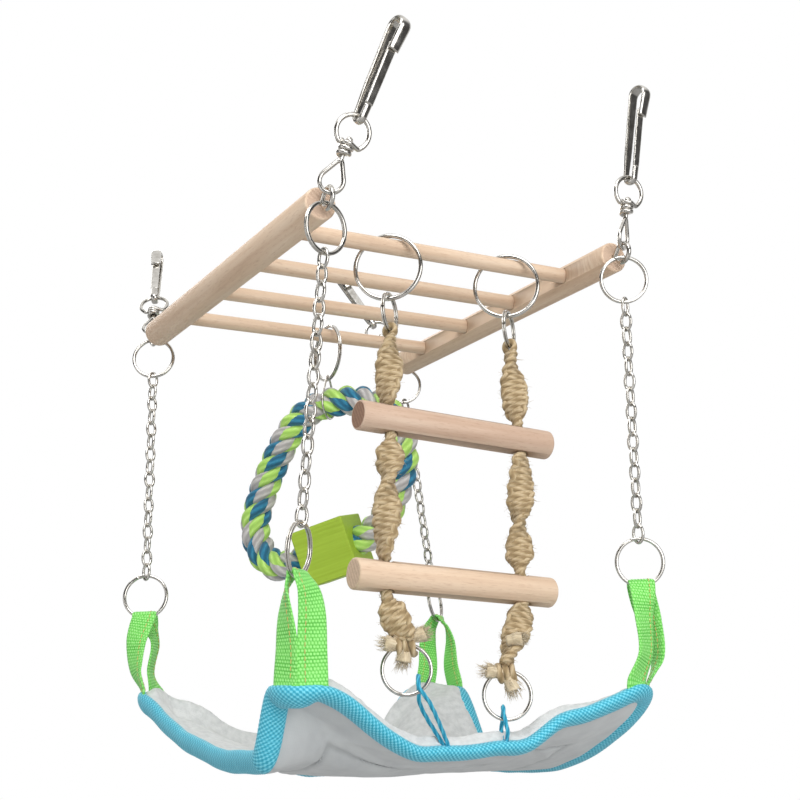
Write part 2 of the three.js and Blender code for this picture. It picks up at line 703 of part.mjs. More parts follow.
// Knotted rope: thin where it threads a rung, swollen at each knot
function ladderRope(rope) {
  const foot = footRingAt(rope);
  const start = ladderLinkZ - ladderLinkRadius + JUTE_NECK;
  const finish = foot.z + ladderFootRadius - JUTE_KNOT / 2;
  const through = (x, drop) => [-1, 1].map((end) => {
    const z = (end * -LADDER_RUNG_DIAMETER) / 2 - drop;
    return new THREE.Vector3(x, leanAt(z), z);
  });
  const stations = [
    new THREE.Vector3(rope.top, nearRungY, start),
    ...through(rope.upper, LADDER_UPPER_DROP),
    ...through(rope.lower, LADDER_LOWER_DROP),
    new THREE.Vector3(rope.foot, foot.y, finish),
  ];
  const route = new THREE.CatmullRomCurve3(stations, false, 'centripetal');
  const rungHalf = LADDER_RUNG_DIAMETER / 2;
  const rungDrops = [LADDER_UPPER_DROP, LADDER_LOWER_DROP];
  const runs = [
    [-start, LADDER_UPPER_DROP - rungHalf],
    [LADDER_UPPER_DROP + rungHalf, LADDER_LOWER_DROP - rungHalf],
    [LADDER_LOWER_DROP + rungHalf, -finish],
  ];
  const swellings = runs.flatMap(([from, to], i) => rope.knots[i].map((share) => from + (to - from) * share));
  swellings.push(-start - JUTE_KNOT / 3, JUTE_KNOT / 2 - finish);
  const rings = 28;
  const sides = 8;
  return skin(Array.from({ length: rings + 1 }, (_, i) => {
    const centre = route.getPoint(i / rings);
    const near = Math.min(...swellings.map((drop) => Math.abs(-centre.z - drop)));
    const toRung = Math.min(...rungDrops.map((drop) => Math.abs(-centre.z - drop))) - rungHalf;
    const free = Math.min(Math.max(toRung / JUTE_NECK - 1, 0), 1);
    const swell = free * Math.cos(Math.min(near / JUTE_KNOT, 0.5) * Math.PI) ** 2;
    const r = (JUTE_NECK + (JUTE_KNOT - JUTE_NECK) * swell) / 2;
    return Array.from({ length: sides }, (_unused, j) => {
      const a = (-2 * Math.PI * j) / sides;
      return new THREE.Vector3(centre.x + r * Math.cos(a), centre.y + r * Math.sin(a), centre.z);
    });
  }));
}

// The ladder leans from the near rung to the middle of its foot rings, by the hammock's front edge
function leanAt(z) {
  const feet = ROPES.reduce((sum, rope) => sum.add(footRingAt(rope)), new THREE.Vector3());
  const foot = feet.divideScalar(ROPES.length);
  const share = (ladderLinkZ - z) / (ladderLinkZ - foot.z);
  return nearRungY + (foot.y - nearRungY) * share;
}

function placedRing(radius, wireSize, turn, centre) {
  return wireRing(radius, wireSize).rotateZ(radians(turn)).translate(...centre);
}

for (const rope of ROPES) {
  const foot = footRingAt(rope);
  const ringCentre = [rope.top, nearRungY, ladderRingZ];
  const linkCentre = [rope.top, nearRungY, ladderLinkZ];
  const ring = placedRing(ladderRingRadius, LADDER_RING_WIRE, LADDER_RING_TURN, ringCentre);
  const link = (wireSize) => placedRing(ladderLinkRadius, wireSize, LADDER_LINK_TURN, linkCentre);
  const footRing = (wireSize) => placedRing(ladderFootRadius, wireSize, LADDER_FOOT_TURN, foot);
  const jute = cut(ladderRope(rope), link(LADDER_WIRE + 2 * GAP), footRing(LADDER_WIRE + 2 * GAP));
  ladder.add(piece(`ladder_ring_${rope.name}`, ring, NICKEL));
  ladder.add(piece(`ladder_link_${rope.name}`, link(LADDER_WIRE), NICKEL));
  ladder.add(piece(`ladder_rope_${rope.name}`, jute, JUTE));
  ladder.add(piece(`ladder_foot_ring_${rope.name}`, footRing(LADDER_WIRE), NICKEL));
}

for (const [name, drop] of [['upper', LADDER_UPPER_DROP], ['lower', LADDER_LOWER_DROP]]) {
  const middle = ROPES.reduce((sum, rope) => sum + rope[name], 0) / ROPES.length;
  const holes = ROPES.map((rope) => {
    const drill = bar(JUTE_HOLE, -LADDER_RUNG_DIAMETER, LADDER_RUNG_DIAMETER, 10);
    return drill.translate(rope[name] - middle, 0, 0);
  });
  const wood = dowel(LADDER_RUNG_DIAMETER, LADDER_RUNG_LENGTH);
  wood.rotateY(Math.PI / 2 + radians(LADDER_RUNG_TILT));
  const rung = piece(`ladder_rung_${name}`, cut(wood, ...holes), WOOD);
  rung.position.set(middle, leanAt(-drop), -drop);
  ladder.add(rung);
}

// Thin cords from the foot rings to the hammock's front edge
for (const rope of ROPES) {
  const foot = footRingAt(rope);
  const top = new THREE.Vector3(foot.x, foot.y, foot.z - ladderFootRadius);
  const down = tieBase(rope).sub(top);
  const tie = group(hammock, top.x, top.y, top.z);
  hangAlong(tie, down, headed(LADDER_FOOT_TURN));
  const high = LADDER_WIRE / 2 + TIE_SLACK + TIE_CORD / 2;
  const low = TIE_BEND;
  const reach = down.length() - bindingRadius - 2 * GAP - TIE_CORD / 2 - low;
  const loop = beltLoop(low, high, reach + TIE_RISE, TIE_CORD, 16, 5).rotateZ(Math.PI / 2);
  loop.translate(0, 0, -reach);
  tie.add(piece(`ladder_tie_${rope.name}`, loop, BLUE_CORD));
}

// Rope toy on the far rung

const toy = new THREE.Group();
toy.position.set(TOY_RING_X, farRungY, 0);
const toyRingBottom = ladderRingTop - 2 * ladderRingRadius;
const toyTopDrop = TOY_ROUTE.reduce((least, [, drop]) => Math.min(least, drop), Infinity);

function toyTie() {
  const low = TOY_ROPE_DIAMETER / 2 + GAP + TOY_TIE_WIRE / 2;
  const high = LADDER_RING_WIRE / 2 + 2 * GAP + TOY_TIE_WIRE / 2;
  return beltLoop(low, high, toyTopDrop + toyRingBottom, TOY_TIE_WIRE, 24, 4).rotateZ(Math.PI / 2);
}

const toyRing = piece('toy_ring', wireRing(ladderRingRadius, LADDER_RING_WIRE), NICKEL);
toyRing.position.z = ladderRingZ;
toyRing.rotation.z = Math.PI / 2;
const swing = group(toy, 0, 0, 0);
swing.rotation.z = radians(TOY_TURN);
const tieLoop = piece('toy_tie', toyTie(), NICKEL);
tieLoop.position.z = -toyTopDrop;
const boreAt = (run) => {
  const tilt = radians(TOY_BLOCK_TILT);
  return [TOY_BLOCK_CENTRE[0] + run * Math.cos(tilt), TOY_BLOCK_CENTRE[1] - run * Math.sin(tilt)];
};
const bored = [0.2, 0.55].map((share) => share * TOY_BLOCK);
const stations = [
  boreAt(-bored[0]), boreAt(-bored[1]), ...TOY_ROUTE, boreAt(bored[1]), boreAt(bored[0]),
];
const route = new THREE.CatmullRomCurve3(stations.map(([s, drop]) => new THREE.Vector3(s, 0, -drop)));
const block = new THREE.BoxGeometry(TOY_BLOCK, TOY_BLOCK, TOY_BLOCK);
const bore = bar(TOY_ROPE_DIAMETER + 2 * GAP, -TOY_BLOCK, TOY_BLOCK, 16).rotateY(Math.PI / 2);
const blockPiece = piece('toy_block', cut(block, bore), GREEN_PAINT);
blockPiece.position.set(TOY_BLOCK_CENTRE[0], 0, -TOY_BLOCK_CENTRE[1]);
blockPiece.rotation.set(radians(TOY_BLOCK_ROLL), -radians(TOY_BLOCK_TILT), 0, 'YXZ');
swing.add(tieLoop, piece('toy_rope', along(route, TOY_ROPE_DIAMETER, 8, 36), COTTON), blockPiece);
toy.add(toyRing);

const part = new THREE.Group();
part.add(bridge, hammock, ladder, toy);

export default part;
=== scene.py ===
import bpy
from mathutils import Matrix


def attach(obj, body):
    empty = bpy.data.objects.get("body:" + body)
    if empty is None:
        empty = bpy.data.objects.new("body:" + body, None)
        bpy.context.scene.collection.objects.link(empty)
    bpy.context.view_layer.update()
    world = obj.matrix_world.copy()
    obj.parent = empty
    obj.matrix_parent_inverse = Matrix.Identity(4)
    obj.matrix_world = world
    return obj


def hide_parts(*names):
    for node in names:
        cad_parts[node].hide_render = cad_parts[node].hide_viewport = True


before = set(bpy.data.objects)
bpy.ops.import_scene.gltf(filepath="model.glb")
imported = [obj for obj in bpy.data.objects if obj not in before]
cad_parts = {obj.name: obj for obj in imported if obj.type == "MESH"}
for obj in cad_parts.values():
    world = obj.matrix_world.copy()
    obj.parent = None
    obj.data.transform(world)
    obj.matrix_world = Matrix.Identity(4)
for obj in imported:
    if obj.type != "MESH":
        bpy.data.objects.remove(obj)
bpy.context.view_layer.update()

# Looks of a hanging bridge with hammock, a toy for a small pet's cage: a wooden bridge on four
# swivelling snap hooks, a padded hammock on chains below it, a knotted rope ladder and a rope ring.
# Sizes are in millimetres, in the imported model's own frame.

import math
import random

import bmesh
import bpy
from mathutils import Matrix, Vector, noise

MM = 0.001
UP = Vector((0, 0, 1))
X_AXIS = Vector((1, 0, 0))
Y_AXIS = Vector((0, 1, 0))
TURN = 2 * math.pi

# Steps along the lines that wires, bands and cords follow
WIRE_STEP = 0.5
LOOP_STEP = 0.6
STEM_STEP = 1
SWIVEL_STEP = 0.45
STRAP_STEP = 0.37
TIE_STEP = 0.4
JUTE_STEP = 0.42
TUFT_STEP = 0.6
ROPE_STEP = 0.9

# Camera, fitted to the photograph's rails and rungs
LENS = 58.79
SENSOR = 36
CAMERA_PLACE = (-0.2539, -0.4559, -0.1761)
CAMERA_TURNS = [("Z", -30.30), ("X", 104.13), ("Z", -2.14)]
CAMERA_RIGHT = Vector((0.867, -0.496, 0)).normalized()

camera_data = bpy.data.cameras.new("camera")
camera_data.lens = LENS
camera_data.sensor_width = SENSOR
camera_data.clip_start = 0.01
camera = bpy.data.objects.new("camera", camera_data)
facing = Matrix.Identity(4)
for axis, degrees in CAMERA_TURNS:
    facing = facing @ Matrix.Rotation(math.radians(degrees), 4, axis)
camera.matrix_world = Matrix.Translation(CAMERA_PLACE) @ facing
bpy.context.scene.collection.objects.link(camera)
bpy.context.scene.camera = camera
bpy.context.scene.view_settings.view_transform = "Standard"

# Bridge
GAP = 0.3
RAIL_LENGTH = 164
RAIL_DIAMETER = 12
RAIL_X = 64
RUNG_DIAMETER = 6
RUNG_LENGTH = 127.4
RUNG_Y = [-55.5, -18.5, 18.5, 55.5]
NEAR_RUNG_Y = RUNG_Y[0]
FAR_RUNG_Y = RUNG_Y[-1]
WOOD_EDGE = 0.7
GRAIN_SHIFT = Vector((17, 29, 83))
SCREW_HOLE_DEPTH = 24

# Screw eyes
EYE_Y = 87.3
EYE_RADIUS = 3.8
EYE_WIRE = 1.8
EYE_SHANK = (-17.3, -10)
EYE_NECK = 1.4
EYE_BEND = range(28, 348, 10)

# Swivels and hooks, upright from the middle of the screw eye's wire
LOOP_RADIUS = 4.15
LOOP_WIRE = 1.7
LOOP_NECK = 0.9
LOOP_BOTTOM = -2.05
LOOP_RISE = 7.05
STEM_FOOT_Z = 9.05
STEM_HEAD = 2.8
STEM_HEAD_Z = 17.6
SWIVEL_RADIUS = 5.3
SWIVEL_EYE = 6.1
SWIVEL_ARC = (-48, 236)
SWIVEL_END = (-2.1, 0.2, -4.8)
SWIVEL_WIRE = 1.75
SWIVEL_TURNS = 2.5
SWIVEL_PITCH = 1.76
SWIVEL_CENTRE = 21.7
WINDING_START = 12
WINDING_RADIUS = 1.95
WINDING_STEPS = 16
CUP_RADIUS = 2.05
CROWN_RADIUS = 3.25
CROWN_Z = 34.8
TIP_Z = 25.8
TIP_LEAN = 0.8
LUG_LENGTH = 4.5
GATE_FOOT = 2
GATE_TOP_Y = 1.25
GATE_TOP_Z = 28.3
STRIP_THICKNESS = 0.9
STRIP_EDGE = 0.2
HOOK_DOME = 0.45
HOOK_WIDTHS = [(0, 3), (11, 3), (24, 4.2), (46, 4.9), (56, 4.9), (70, 4.3)]
GATE_WIDTHS = [(0, 3.3), (12, 3.5), (30, 3.8)]

# Split rings: the width of one coil of the wire, and its depth
CHAIN_COIL = (0.78, 1.35)
LARGE_COIL = (0.86, 1.5)
SMALL_COIL = (0.76, 1.3)
COIL_GAP = 0.03
COIL_CROSSING = (0.94, 1.06)
COIL_START = 0.3
COIL_STEPS = 112

# Chains, straight down from the middle of the screw eye's wire
CHAIN_RING_RADIUS = 8.8
TOP_RING_Z = -6.9
CHAIN_TOP = -14.125
CHAIN_LINKS = 16
CHAIN_TWIST_LINKS = (8, 15)
LINK_SPAN = 6.85
LINK_STEP = 5.82
LINK_HALF_WIDTH = 2.02
LINK_WIRE = 1.2
LINK_SLOP = 7
LINK_STEPS = 24
FOOT_RING_Z = -115.5

# Hammock, over the middle of its binding
HALF_WIDTH = 76.5
HALF_LENGTH = 78.5
HAMMOCK_CORNER = 17
HAMMOCK_THICKNESS = 5
HAMMOCK_EDGE_THICKNESS = 2.6
ANCHOR_X = 71.52
ANCHOR_Y = 73.52
ANCHOR_Z = -127.105
STRAP_LENGTH = 33
CORNER_Z = ANCHOR_Z - STRAP_LENGTH

# How the hammock hangs: how far its middle and edges sag, how far they draw in, and how full the edges
# are. Across and along it, places run from -1 to 1. A fold is where an edge turns up to its corner.
MIDDLE_SAG = 30.5
LEFT_SAG = 23.2
RIGHT_SAG = 33
FRONT_SAG = 24
BACK_SAG = 32
FRONT_DRAW = 11
SIDE_DRAW = 5
EDGE_FULLNESS = 2.2
LEFT_FULLNESS = 1.35
LEFT_LOW = 0.2
LEFT_FOLD = (0.57, 0.79)
RIGHT_FULLNESS = 2.1
RIGHT_FOLD = (0.42, 0.8)
FRONT_FULLNESS = 1.4
FRONT_FOLD = (0.28, 0.88)
FRONT_GATHERS = [(0.25, 0.1), (0.46, -0.07)]
FRONT_GATHER_WIDTH = 0.1
BACK_FULLNESS = 1.3
BACK_FOLD = (0.34, 0.74)
NEAR_LEFT_DROP = 3
FAR_LEFT_RISE = 5
FAR_LEFT_ACROSS = (0.4, 1)
FAR_LEFT_ALONG = (0.3, 1)
LEFT_CURL = 4
LEFT_CURL_ACROSS = (0.6, 0.85)
LEFT_CURL_RISE = 4
LEFT_CURL_FADE = (5, 23)
LEFT_STAND = 0.9
LEFT_STAND_ACROSS = (0.825, 0.95)
HEM_WAVE = 0.8
HEM_WAVES = 5

# Plush and lining of the pad: sizes and heights of tufts, lumps, puckers, dents and creases
PAD_STEPS = 150
PAD_RIM = 0.5
PAD_LIP = 4
FINE_TUFT = (2.2, 0.3)
BROAD_TUFT = (7, 0.6)
PLUSH_ROLL = (4.6, 7.4)
PLUSH_ROLL_FRONT = 0.6
PLUSH_ROLL_INSET = 4.2
PLUSH_ROLL_WIDTH = 3.4
PLUSH_LUMP = (15, 0.25)
RIGHT_ROLL_CUTS = [(0.45, (0.5, 0.7)), (0.5, (0.85, 0.95))]
LEFT_ROLL_CUT = 0.65
LEFT_ROLL_ACROSS = (0.86, 0.96)
LEFT_ROLL_ALONG = (0.6, 0.9)
SEAM_INSET = 25
SEAM_DEPTH = 0.7
SEAM_WIDTH = 1.3
SEAM_SHADE = (0.5, 1.1)
SEAM_STITCH = 3.2
SEAM_THREAD = 0.5
SEAM_THREAD_RISE = 0.75
PUCKER = (3.5, 0.25)
PUCKER_REACH = 6
BROAD_DENT = (22, 0.7)
SMALL_DENT = (10, 0.35)
LINING_LIP = 8
CREASE_HEIGHT = 0.5
CREASE_WIDTH = 2
CREASES = [
    ((-33, -72), (-56, -50)), ((-40, -55), (10, -60)), ((30, -66), (52, -40)), ((-62, -20), (-40, 5)),
]

# Binding and straps
BINDING_WIDTH = 8.6
BINDING_THICKNESS = 5
BINDING_SHIFT = 1.9
BINDING_WEAVE = 1.7
BINDING_RELIEF = 0.2
BINDING_SIDES = 56
HEM_STEP = 0.4
HEM_CORNER_STEPS = 16
HEM_TURN_IN = 4
STRAP_WIDTH = 10
STRAP_THICKNESS = 1.2
STRAP_EDGE = 0.45
STRAP_WEAVE = 1.15
STRAP_RELIEF = 0.22
STRAP_SIDES = 30
STRAP_OVER = 1.9
STRAP_TWIST = 2.2
STRAP_SHOULDER = 0.71
STRAP_EDGE_SLOPE = 8
STRAP_MID_RELIEF = 0.6
WEAVE_ROUNDNESS = 0.7
HEM_SPAN = 4
STITCH_THREAD = 0.28
STITCH_RISE = 0.1
STITCH_ROWS = 6

# A strap's leg: how far down it, how far off the wire, and its shares of the upper and lower bow
STRAP_LEG = [(0.12, 3, 0.4, 0), (0.3, 2.4, 1, 0), (0.65, 0.6, 0, 1)]
STRAP_FOOT = (3, 0.8)

# Rope ladder
LADDER_RING_RADIUS = 12.45
LADDER_RING_Z = -8.35
LADDER_RING_TURN = -40
LADDER_LINK_RADIUS = 7.2
LADDER_LINK_Z = -26.2
LADDER_LINK_TURN = 40
LADDER_FOOT_RADIUS = 8.3
LADDER_FOOT_TURN = -30
LADDER_RUNG_LENGTH = 82
LADDER_RUNG_DIAMETER = 11
LADDER_RUNG_TILT = 3.5
LADDER_DROPS = {"upper": 70, "lower": 127}
RUNG_HALF = LADDER_RUNG_DIAMETER / 2
JUTE_HOLE = 6
JUTE_HOLE_DEPTH = 24

# Knotted jute: the band that the cords make is wide and thin, and tight where it goes through a rung
JUTE_CORD = 2.6
JUTE_CORE = 2.0
JUTE_CORE_PLACE = 0.3
SINNET_STEP = 0.3
SINNET_PITCH = 5.0
SINNET_WIDE = 4.0
SINNET_THIN = 1.15
SINNET_EDGE = 3.9
SINNET_EDGE_SWAY = (0.35, 0.7)
SINNET_TIGHT = 1.05
SINNET_FILL = 0.75
SINNET_HALF_TURN = 22
SINNET_TOP_EASE = (-1.5, 3.5)
SINNET_RUNG_EASE = (0.5, 4.5)
SINNET_WANDER = (9, 0.35)
SINNET_SLACK = (3, 0.2)
SINNET_TOP_ROOM = 2.2
SINNET_FOOT_ROOM = 1.5
LINK_BEND = [(1.9, 0), (0.9, 2.1), (-0.9, 2.1), (-1.9, 0)]
FUZZ_COUNT = 560
FUZZ_LENGTH = (0.8, 2.2)
FUZZ_THICKNESS = 0.08
FUZZ_ROOT = 0.45
FUZZ_STRAY = 0.8
FIBRE_CURL = 0.35
FIBRE_SHARES = (0, 0.35, 0.7, 1)
FIBRE_TAPER = (1, 0.8, 0.6, 0.3)
FIBRE_SIDES = 3
SLEEVE_SIDES = 16
SLEEVE_LUMPS = 0.08
KNOT_SINK = 0.6
KNOT_CORD = 2.5
KNOT_RADIUS = 2.6
KNOT_LENGTH = 6
KNOT_TURNS = 2.6
KNOT_STEPS = 60
TUFT_RADIUS = 1.7
TUFT_SWELL = 0.9
TUFT_SET_BACK = 1.2
TUFT_SHARES = (0.1, 0.4, 0.7, 1)
TUFT_SIDES = 14
TUFT_LUMPS = 0.22
FRAY_COUNT = 320
FRAY_LENGTH = (1.2, 2.6)
FRAY_THICKNESS = 0.1
FRAY_PLACES = (0.5, 0.98)
FRAY_SPREAD = 2
FRAY_STRAY = 0.3

# Ties from the ladder to the hammock, with room for the ring's wire, which rises and drops in the loop as
# the hammock swings
TIE_CORD = 1.6
TIE_ROOM_BELOW = 4.4
TIE_SHOULDER = 1.5
TIE_WAIST = 0.9
TIE_LOW = (0.78, 0.6, 0.8)
TIE_HEM = 0.15

# Each rope: where it is across, at its top, rungs, foot and tie, where its band shows its broad side in
# each run, the tie's spread, place on the ring and room, and the cut ends of its knot
ROPES = {
    "left": {
        "top": -23, "upper": -27, "lower": -33.5, "foot": -28.5, "tie": -13, "tie_length": 19,
        "knots": [[0.45], [0.15, 0.55], [0.5]], "leaf": 1.6, "slip": 28, "room": 5.3, "bulge": 3.8,
        "tufts": [(0, -1, 0.2, 7), (2, 1, 0.35, 7), (0, -0.2, -1, 5.2)],
    },
    "right": {
        "top": 30.5, "upper": 29.5, "lower": 23, "foot": 12, "tie": 10, "tie_length": 9,
        "knots": [[0.5], [0.4, 0.82], [0.45]], "leaf": 0.9, "slip": -12, "room": 4.4, "bulge": 3,
        "tufts": [(0, -1, 0.15, 7), (11, 1, 0.1, 6), (0, 0.35, -1, 6.5)],
    },
}

# Rope ring, in its own upright plane: across from the hanging point, and down from the far rung
TOY_RING_X = 7.5
TOY_TURN = -50
TOY_BLOCK = 25
TOY_BLOCK_EDGE = 0.8
TOY_BLOCK_TILT = 14
TOY_BLOCK_ROLL = 11
TOY_BLOCK_CENTRE = (0.6, 98.8)
TOY_BORE_DEPTH = 40
TOY_ROPE_ENDS = (0.2, 0.55)
TOY_ROPE_DIAMETER = 11.5
TOY_ROPE_LAY = 23
TOY_TIE_WIRE = 1.0
TOY_TIE_ROOM = 1.4
TOY_TIE_TOP = 1.6
TOY_ROUTE = [
    (-24, 104), (-31, 101), (-35.8, 93.5), (-37.3, 85), (-35.3, 75.5), (-31, 64.5), (-25.5, 53.5),
    (-18.5, 42.5), (-10, 35), (0, 32), (12, 32.3), (23, 35.5), (31.5, 43.5), (35, 55), (34, 66.5),
    (30, 78), (23.3, 88.8),
]
STRAND_RADIUS = 3.7
YARN_RADIUS = 0.95
YARN = 4.9
LIME, TEAL, GREY = 0, 1, 2
STRANDS = [
    {120: LIME, 240: TEAL, 0: GREY}, {120: GREY, 240: LIME, 0: TEAL}, {120: TEAL, 240: GREY, 0: LIME},
]

# Each corner: where its hook leans, how its loops and rings are turned about their lines, the turn of
# its first link and the twist of its chain, and how far apart, bowed and turned its strap's legs are
CORNERS = {
    "near_left": {
        "side": (-1, -1), "lean": (22, -20, 63), "loop": -30, "swivel": -3, "hook": 16, "top": 16, "foot": 40,
        "link": 105, "twist": -4, "legs": 19, "bow": ((1.1, 1), (-0.4, -0.3)), "turn": (0, 0), "stitch": -2.6,
    },
    "far_left": {
        "side": (-1, 1), "lean": (16, 39, 55), "loop": -15, "swivel": -30, "hook": 0, "top": -30, "foot": -30,
        "link": 15, "twist": 0, "legs": 23, "bow": ((-2.8, -3), (2.4, -0.8)), "turn": (25, 60), "stitch": 2.6,
    },
    "near_right": {
        "side": (1, -1), "lean": (9, -9, 68), "loop": 30, "swivel": -3, "hook": 16, "top": -30, "foot": -30,
        "link": 15, "twist": 0, "legs": 26, "bow": ((1, 2.5), (3.2, 5)), "turn": (20, 0), "stitch": 2.6,
    },
    "far_right": {
        "side": (1, 1), "lean": (-16, 35, 58), "loop": 15, "swivel": -30, "hook": 0, "top": -30, "foot": 40,
        "link": 15, "twist": 0, "legs": 30, "bow": ((1, 0.3), (-0.6, -0.3)), "turn": (0, 0), "stitch": -2.6,
    },
}

# Studio
FLOOR_Z = -0.36
FLOOR_RADIUS = 1.6
FLOOR_GLOW = 0.7
BACKDROP_WAY = (0.504, 0.864, 0)

# Each lamp: its place, its aim, its size and its watts
LAMPS = {
    "key": ((-0.5, -0.7, 0.75), (0, 0, -0.05), (0.6, 0.6), 7.5),
    "fill": ((0.0, -1.05, 0.0), (0, 0, -0.08), (0.9, 0.6), 5.5),
    "back": ((0.1, 0.9, 0.5), (0, 0, -0.08), (0.7, 0.5), 4),
    "left": ((-0.9, -0.1, -0.1), (0, 0, -0.08), (0.5, 0.5), 1),
}


# Colours and nodes

# Sockets of a mix node, which go by number
FACTOR, PLAIN_A, PLAIN_B, COLOUR_A, COLOUR_B, MIXED_COLOUR = 0, 2, 3, 6, 7, 2


def linear(code):
    channels = [int(code[i:i + 2], 16) / 255 for i in (1, 3, 5)]
    return tuple(c / 12.92 if c <= 0.04045 else ((c + 0.055) / 1.055) ** 2.4 for c in channels) + (1.0,)


def feed(tree, node, inputs):
    # Gives a node's sockets their links and plain values
    for key, value in inputs.items():
        if isinstance(value, bpy.types.NodeSocket):
            tree.links.new(value, node.inputs[key])
        else:
            node.inputs[key].default_value = value


def add(tree, kind, inputs, out=0, stops=(), **settings):
    # Adds a node with its settings, links and colour stops, and hands on one of its outputs
    node = tree.nodes.new(kind)
    for key, value in settings.items():
        setattr(node, key, value)
    feed(tree, node, inputs)
    for i, (place, code) in enumerate(stops):
        stop = node.color_ramp.elements[i] if i < 2 else node.color_ramp.elements.new(place)
        stop.position = place
        stop.color = linear(code)
    return node.outputs[out]


def every(*sizes):
    # Scale of a pattern that repeats at these sizes
    return tuple(1 / size for size in sizes)


def blank_finish(name):
    finish = bpy.data.materials.new(name)
    finish.use_nodes = True
    tree = finish.node_tree
    return finish, tree, tree.nodes["Principled BSDF"]


def sanded_beech(name, early, body, late, dark):
    # Sanded beech is pale pinkish brown, softly streaked along the stick, with short darker flecks
    finish, tree, shader = blank_finish(name)
    grain = add(tree, "ShaderNodeAttribute", {}, "Vector", attribute_name="grain")
    streak = add(tree, "ShaderNodeMapping", {"Vector": grain, "Scale": every(2.4, 2.4, 55)})
    broad = add(tree, "ShaderNodeTexNoise", {"Vector": streak, "Scale": 1, "Detail": 5}, "Fac")
    tone = add(tree, "ShaderNodeValToRGB", {"Fac": broad}, stops=[(0.25, early), (0.75, late), (0.5, body)])
    fleck = add(tree, "ShaderNodeMapping", {"Vector": grain, "Scale": every(0.45, 0.45, 3.2)})
    dots = add(tree, "ShaderNodeTexNoise", {"Vector": fleck, "Scale": 1, "Detail": 2}, "Fac")
    marks = add(tree, "ShaderNodeMapRange", {"Value": dots, "From Min": 0.56, "From Max": 0.75,
                                             "To Max": 0.4})
    colour = add(tree, "ShaderNodeMix", {FACTOR: marks, COLOUR_A: tone, COLOUR_B: linear(dark)}, MIXED_COLOUR,
                 data_type="RGBA")
    rough = add(tree, "ShaderNodeMapRange", {"Value": broad, "To Min": 0.5, "To Max": 0.75})
    bump = add(tree, "ShaderNodeBump", {"Height": dots, "Strength": 0.35, "Distance": 0.0001})
    feed(tree, shader, {"Base Color": colour, "Roughness": rough, "Normal": bump})
    return finish


def beech_end_grain(name, early, late, pore):
    # Sawn end grain drinks the light, so it is browner, with growth rings and fine pores
    finish, tree, shader = blank_finish(name)
    grain = add(tree, "ShaderNodeAttribute", {}, "Vector", attribute_name="grain")
    pith = add(tree, "ShaderNodeMapping", {"Vector": grain, "Location": (6, -9, 0)})
    rings = add(tree, "ShaderNodeTexWave", {"Vector": pith, "Scale": 0.2, "Distortion": 1.2, "Detail": 2},
                "Fac", wave_type="RINGS", rings_direction="Z")
    pores = add(tree, "ShaderNodeTexNoise", {"Vector": grain, "Scale": 2.6, "Detail": 3}, "Fac")
    tone = add(tree, "ShaderNodeValToRGB", {"Fac": rings}, stops=[(0, early), (1, late)])
    marks = add(tree, "ShaderNodeMapRange", {"Value": pores, "From Min": 0.45, "From Max": 0.7,
                                             "To Max": 0.6})
    colour = add(tree, "ShaderNodeMix", {FACTOR: marks, COLOUR_A: tone, COLOUR_B: linear(pore)}, MIXED_COLOUR,
                 data_type="RGBA")
    bump = add(tree, "ShaderNodeBump", {"Height": pores, "Strength": 0.5, "Distance": 0.0001})
    feed(tree, shader, {"Base Color": colour, "Roughness": 0.8, "Normal": bump})
    return finish


def nickel_plate():
    # Bright nickel over drawn steel: a warm grey mirror, dulled in soft patches a few millimetres wide
    finish, tree, shader = blank_finish("nickel_plated_steel")
    place = add(tree, "ShaderNodeTexCoord", {}, "Object")
    patch = add(tree, "ShaderNodeTexNoise", {"Vector": place, "Scale": 1 / (3 * MM), "Detail": 3}, "Fac")
    scuff = add(tree, "ShaderNodeTexNoise", {"Vector": place, "Scale": 1 / (0.5 * MM), "Detail": 2}, "Fac")
    tone = add(tree, "ShaderNodeValToRGB", {"Fac": patch}, stops=[(0.3, "#b9b5ae"), (0.7, "#dcd9d3")])
    rough = add(tree, "ShaderNodeMapRange", {"Value": patch, "From Min": 0.3, "From Max": 0.7,
                                             "To Min": 0.1, "To Max": 0.26})
    bump = add(tree, "ShaderNodeBump", {"Height": scuff, "Strength": 0.08, "Distance": 0.0001})
    feed(tree, shader, {"Metallic": 1, "Base Color": tone, "Roughness": rough, "Normal": bump})
    return finish


def spun_fibre(name, valley_shade, body, crest, lean, sheen):
    # Spun fibre: dull, streaked along its twist, with painted shade in the furrows between the plies, which
    # leaves their crests lighter
    finish, tree, shader = blank_finish(name)
    surface = add(tree, "ShaderNodeTexCoord", {}, "UV")
    twist = add(tree, "ShaderNodeMapping", {"Vector": surface, "Rotation": (0, 0, math.radians(lean)),
                                            "Scale": (26, 1 / 2.2, 1)})
    fibres = add(tree, "ShaderNodeTexNoise", {"Vector": twist, "Scale": 1, "Detail": 4}, "Fac")
    relief = add(tree, "ShaderNodeAttribute", {}, "Fac", attribute_name="relief")
    height = add(tree, "ShaderNodeMath", {0: relief, 1: fibres}, operation="MULTIPLY")
    # The valley colour is painted shade in the furrows; the crest colour is the lighter top of the plies
    tone = add(tree, "ShaderNodeValToRGB", {"Fac": height},
               stops=[(0.08, valley_shade), (0.62, crest), (0.36, body)])
    bump = add(tree, "ShaderNodeBump", {"Height": fibres, "Strength": 0.6, "Distance": 0.0002})
    feed(tree, shader, {"Base Color": tone, "Roughness": 0.9, "Sheen Weight": sheen, "Sheen Roughness": 0.5,
                        "Normal": bump})
    return finish


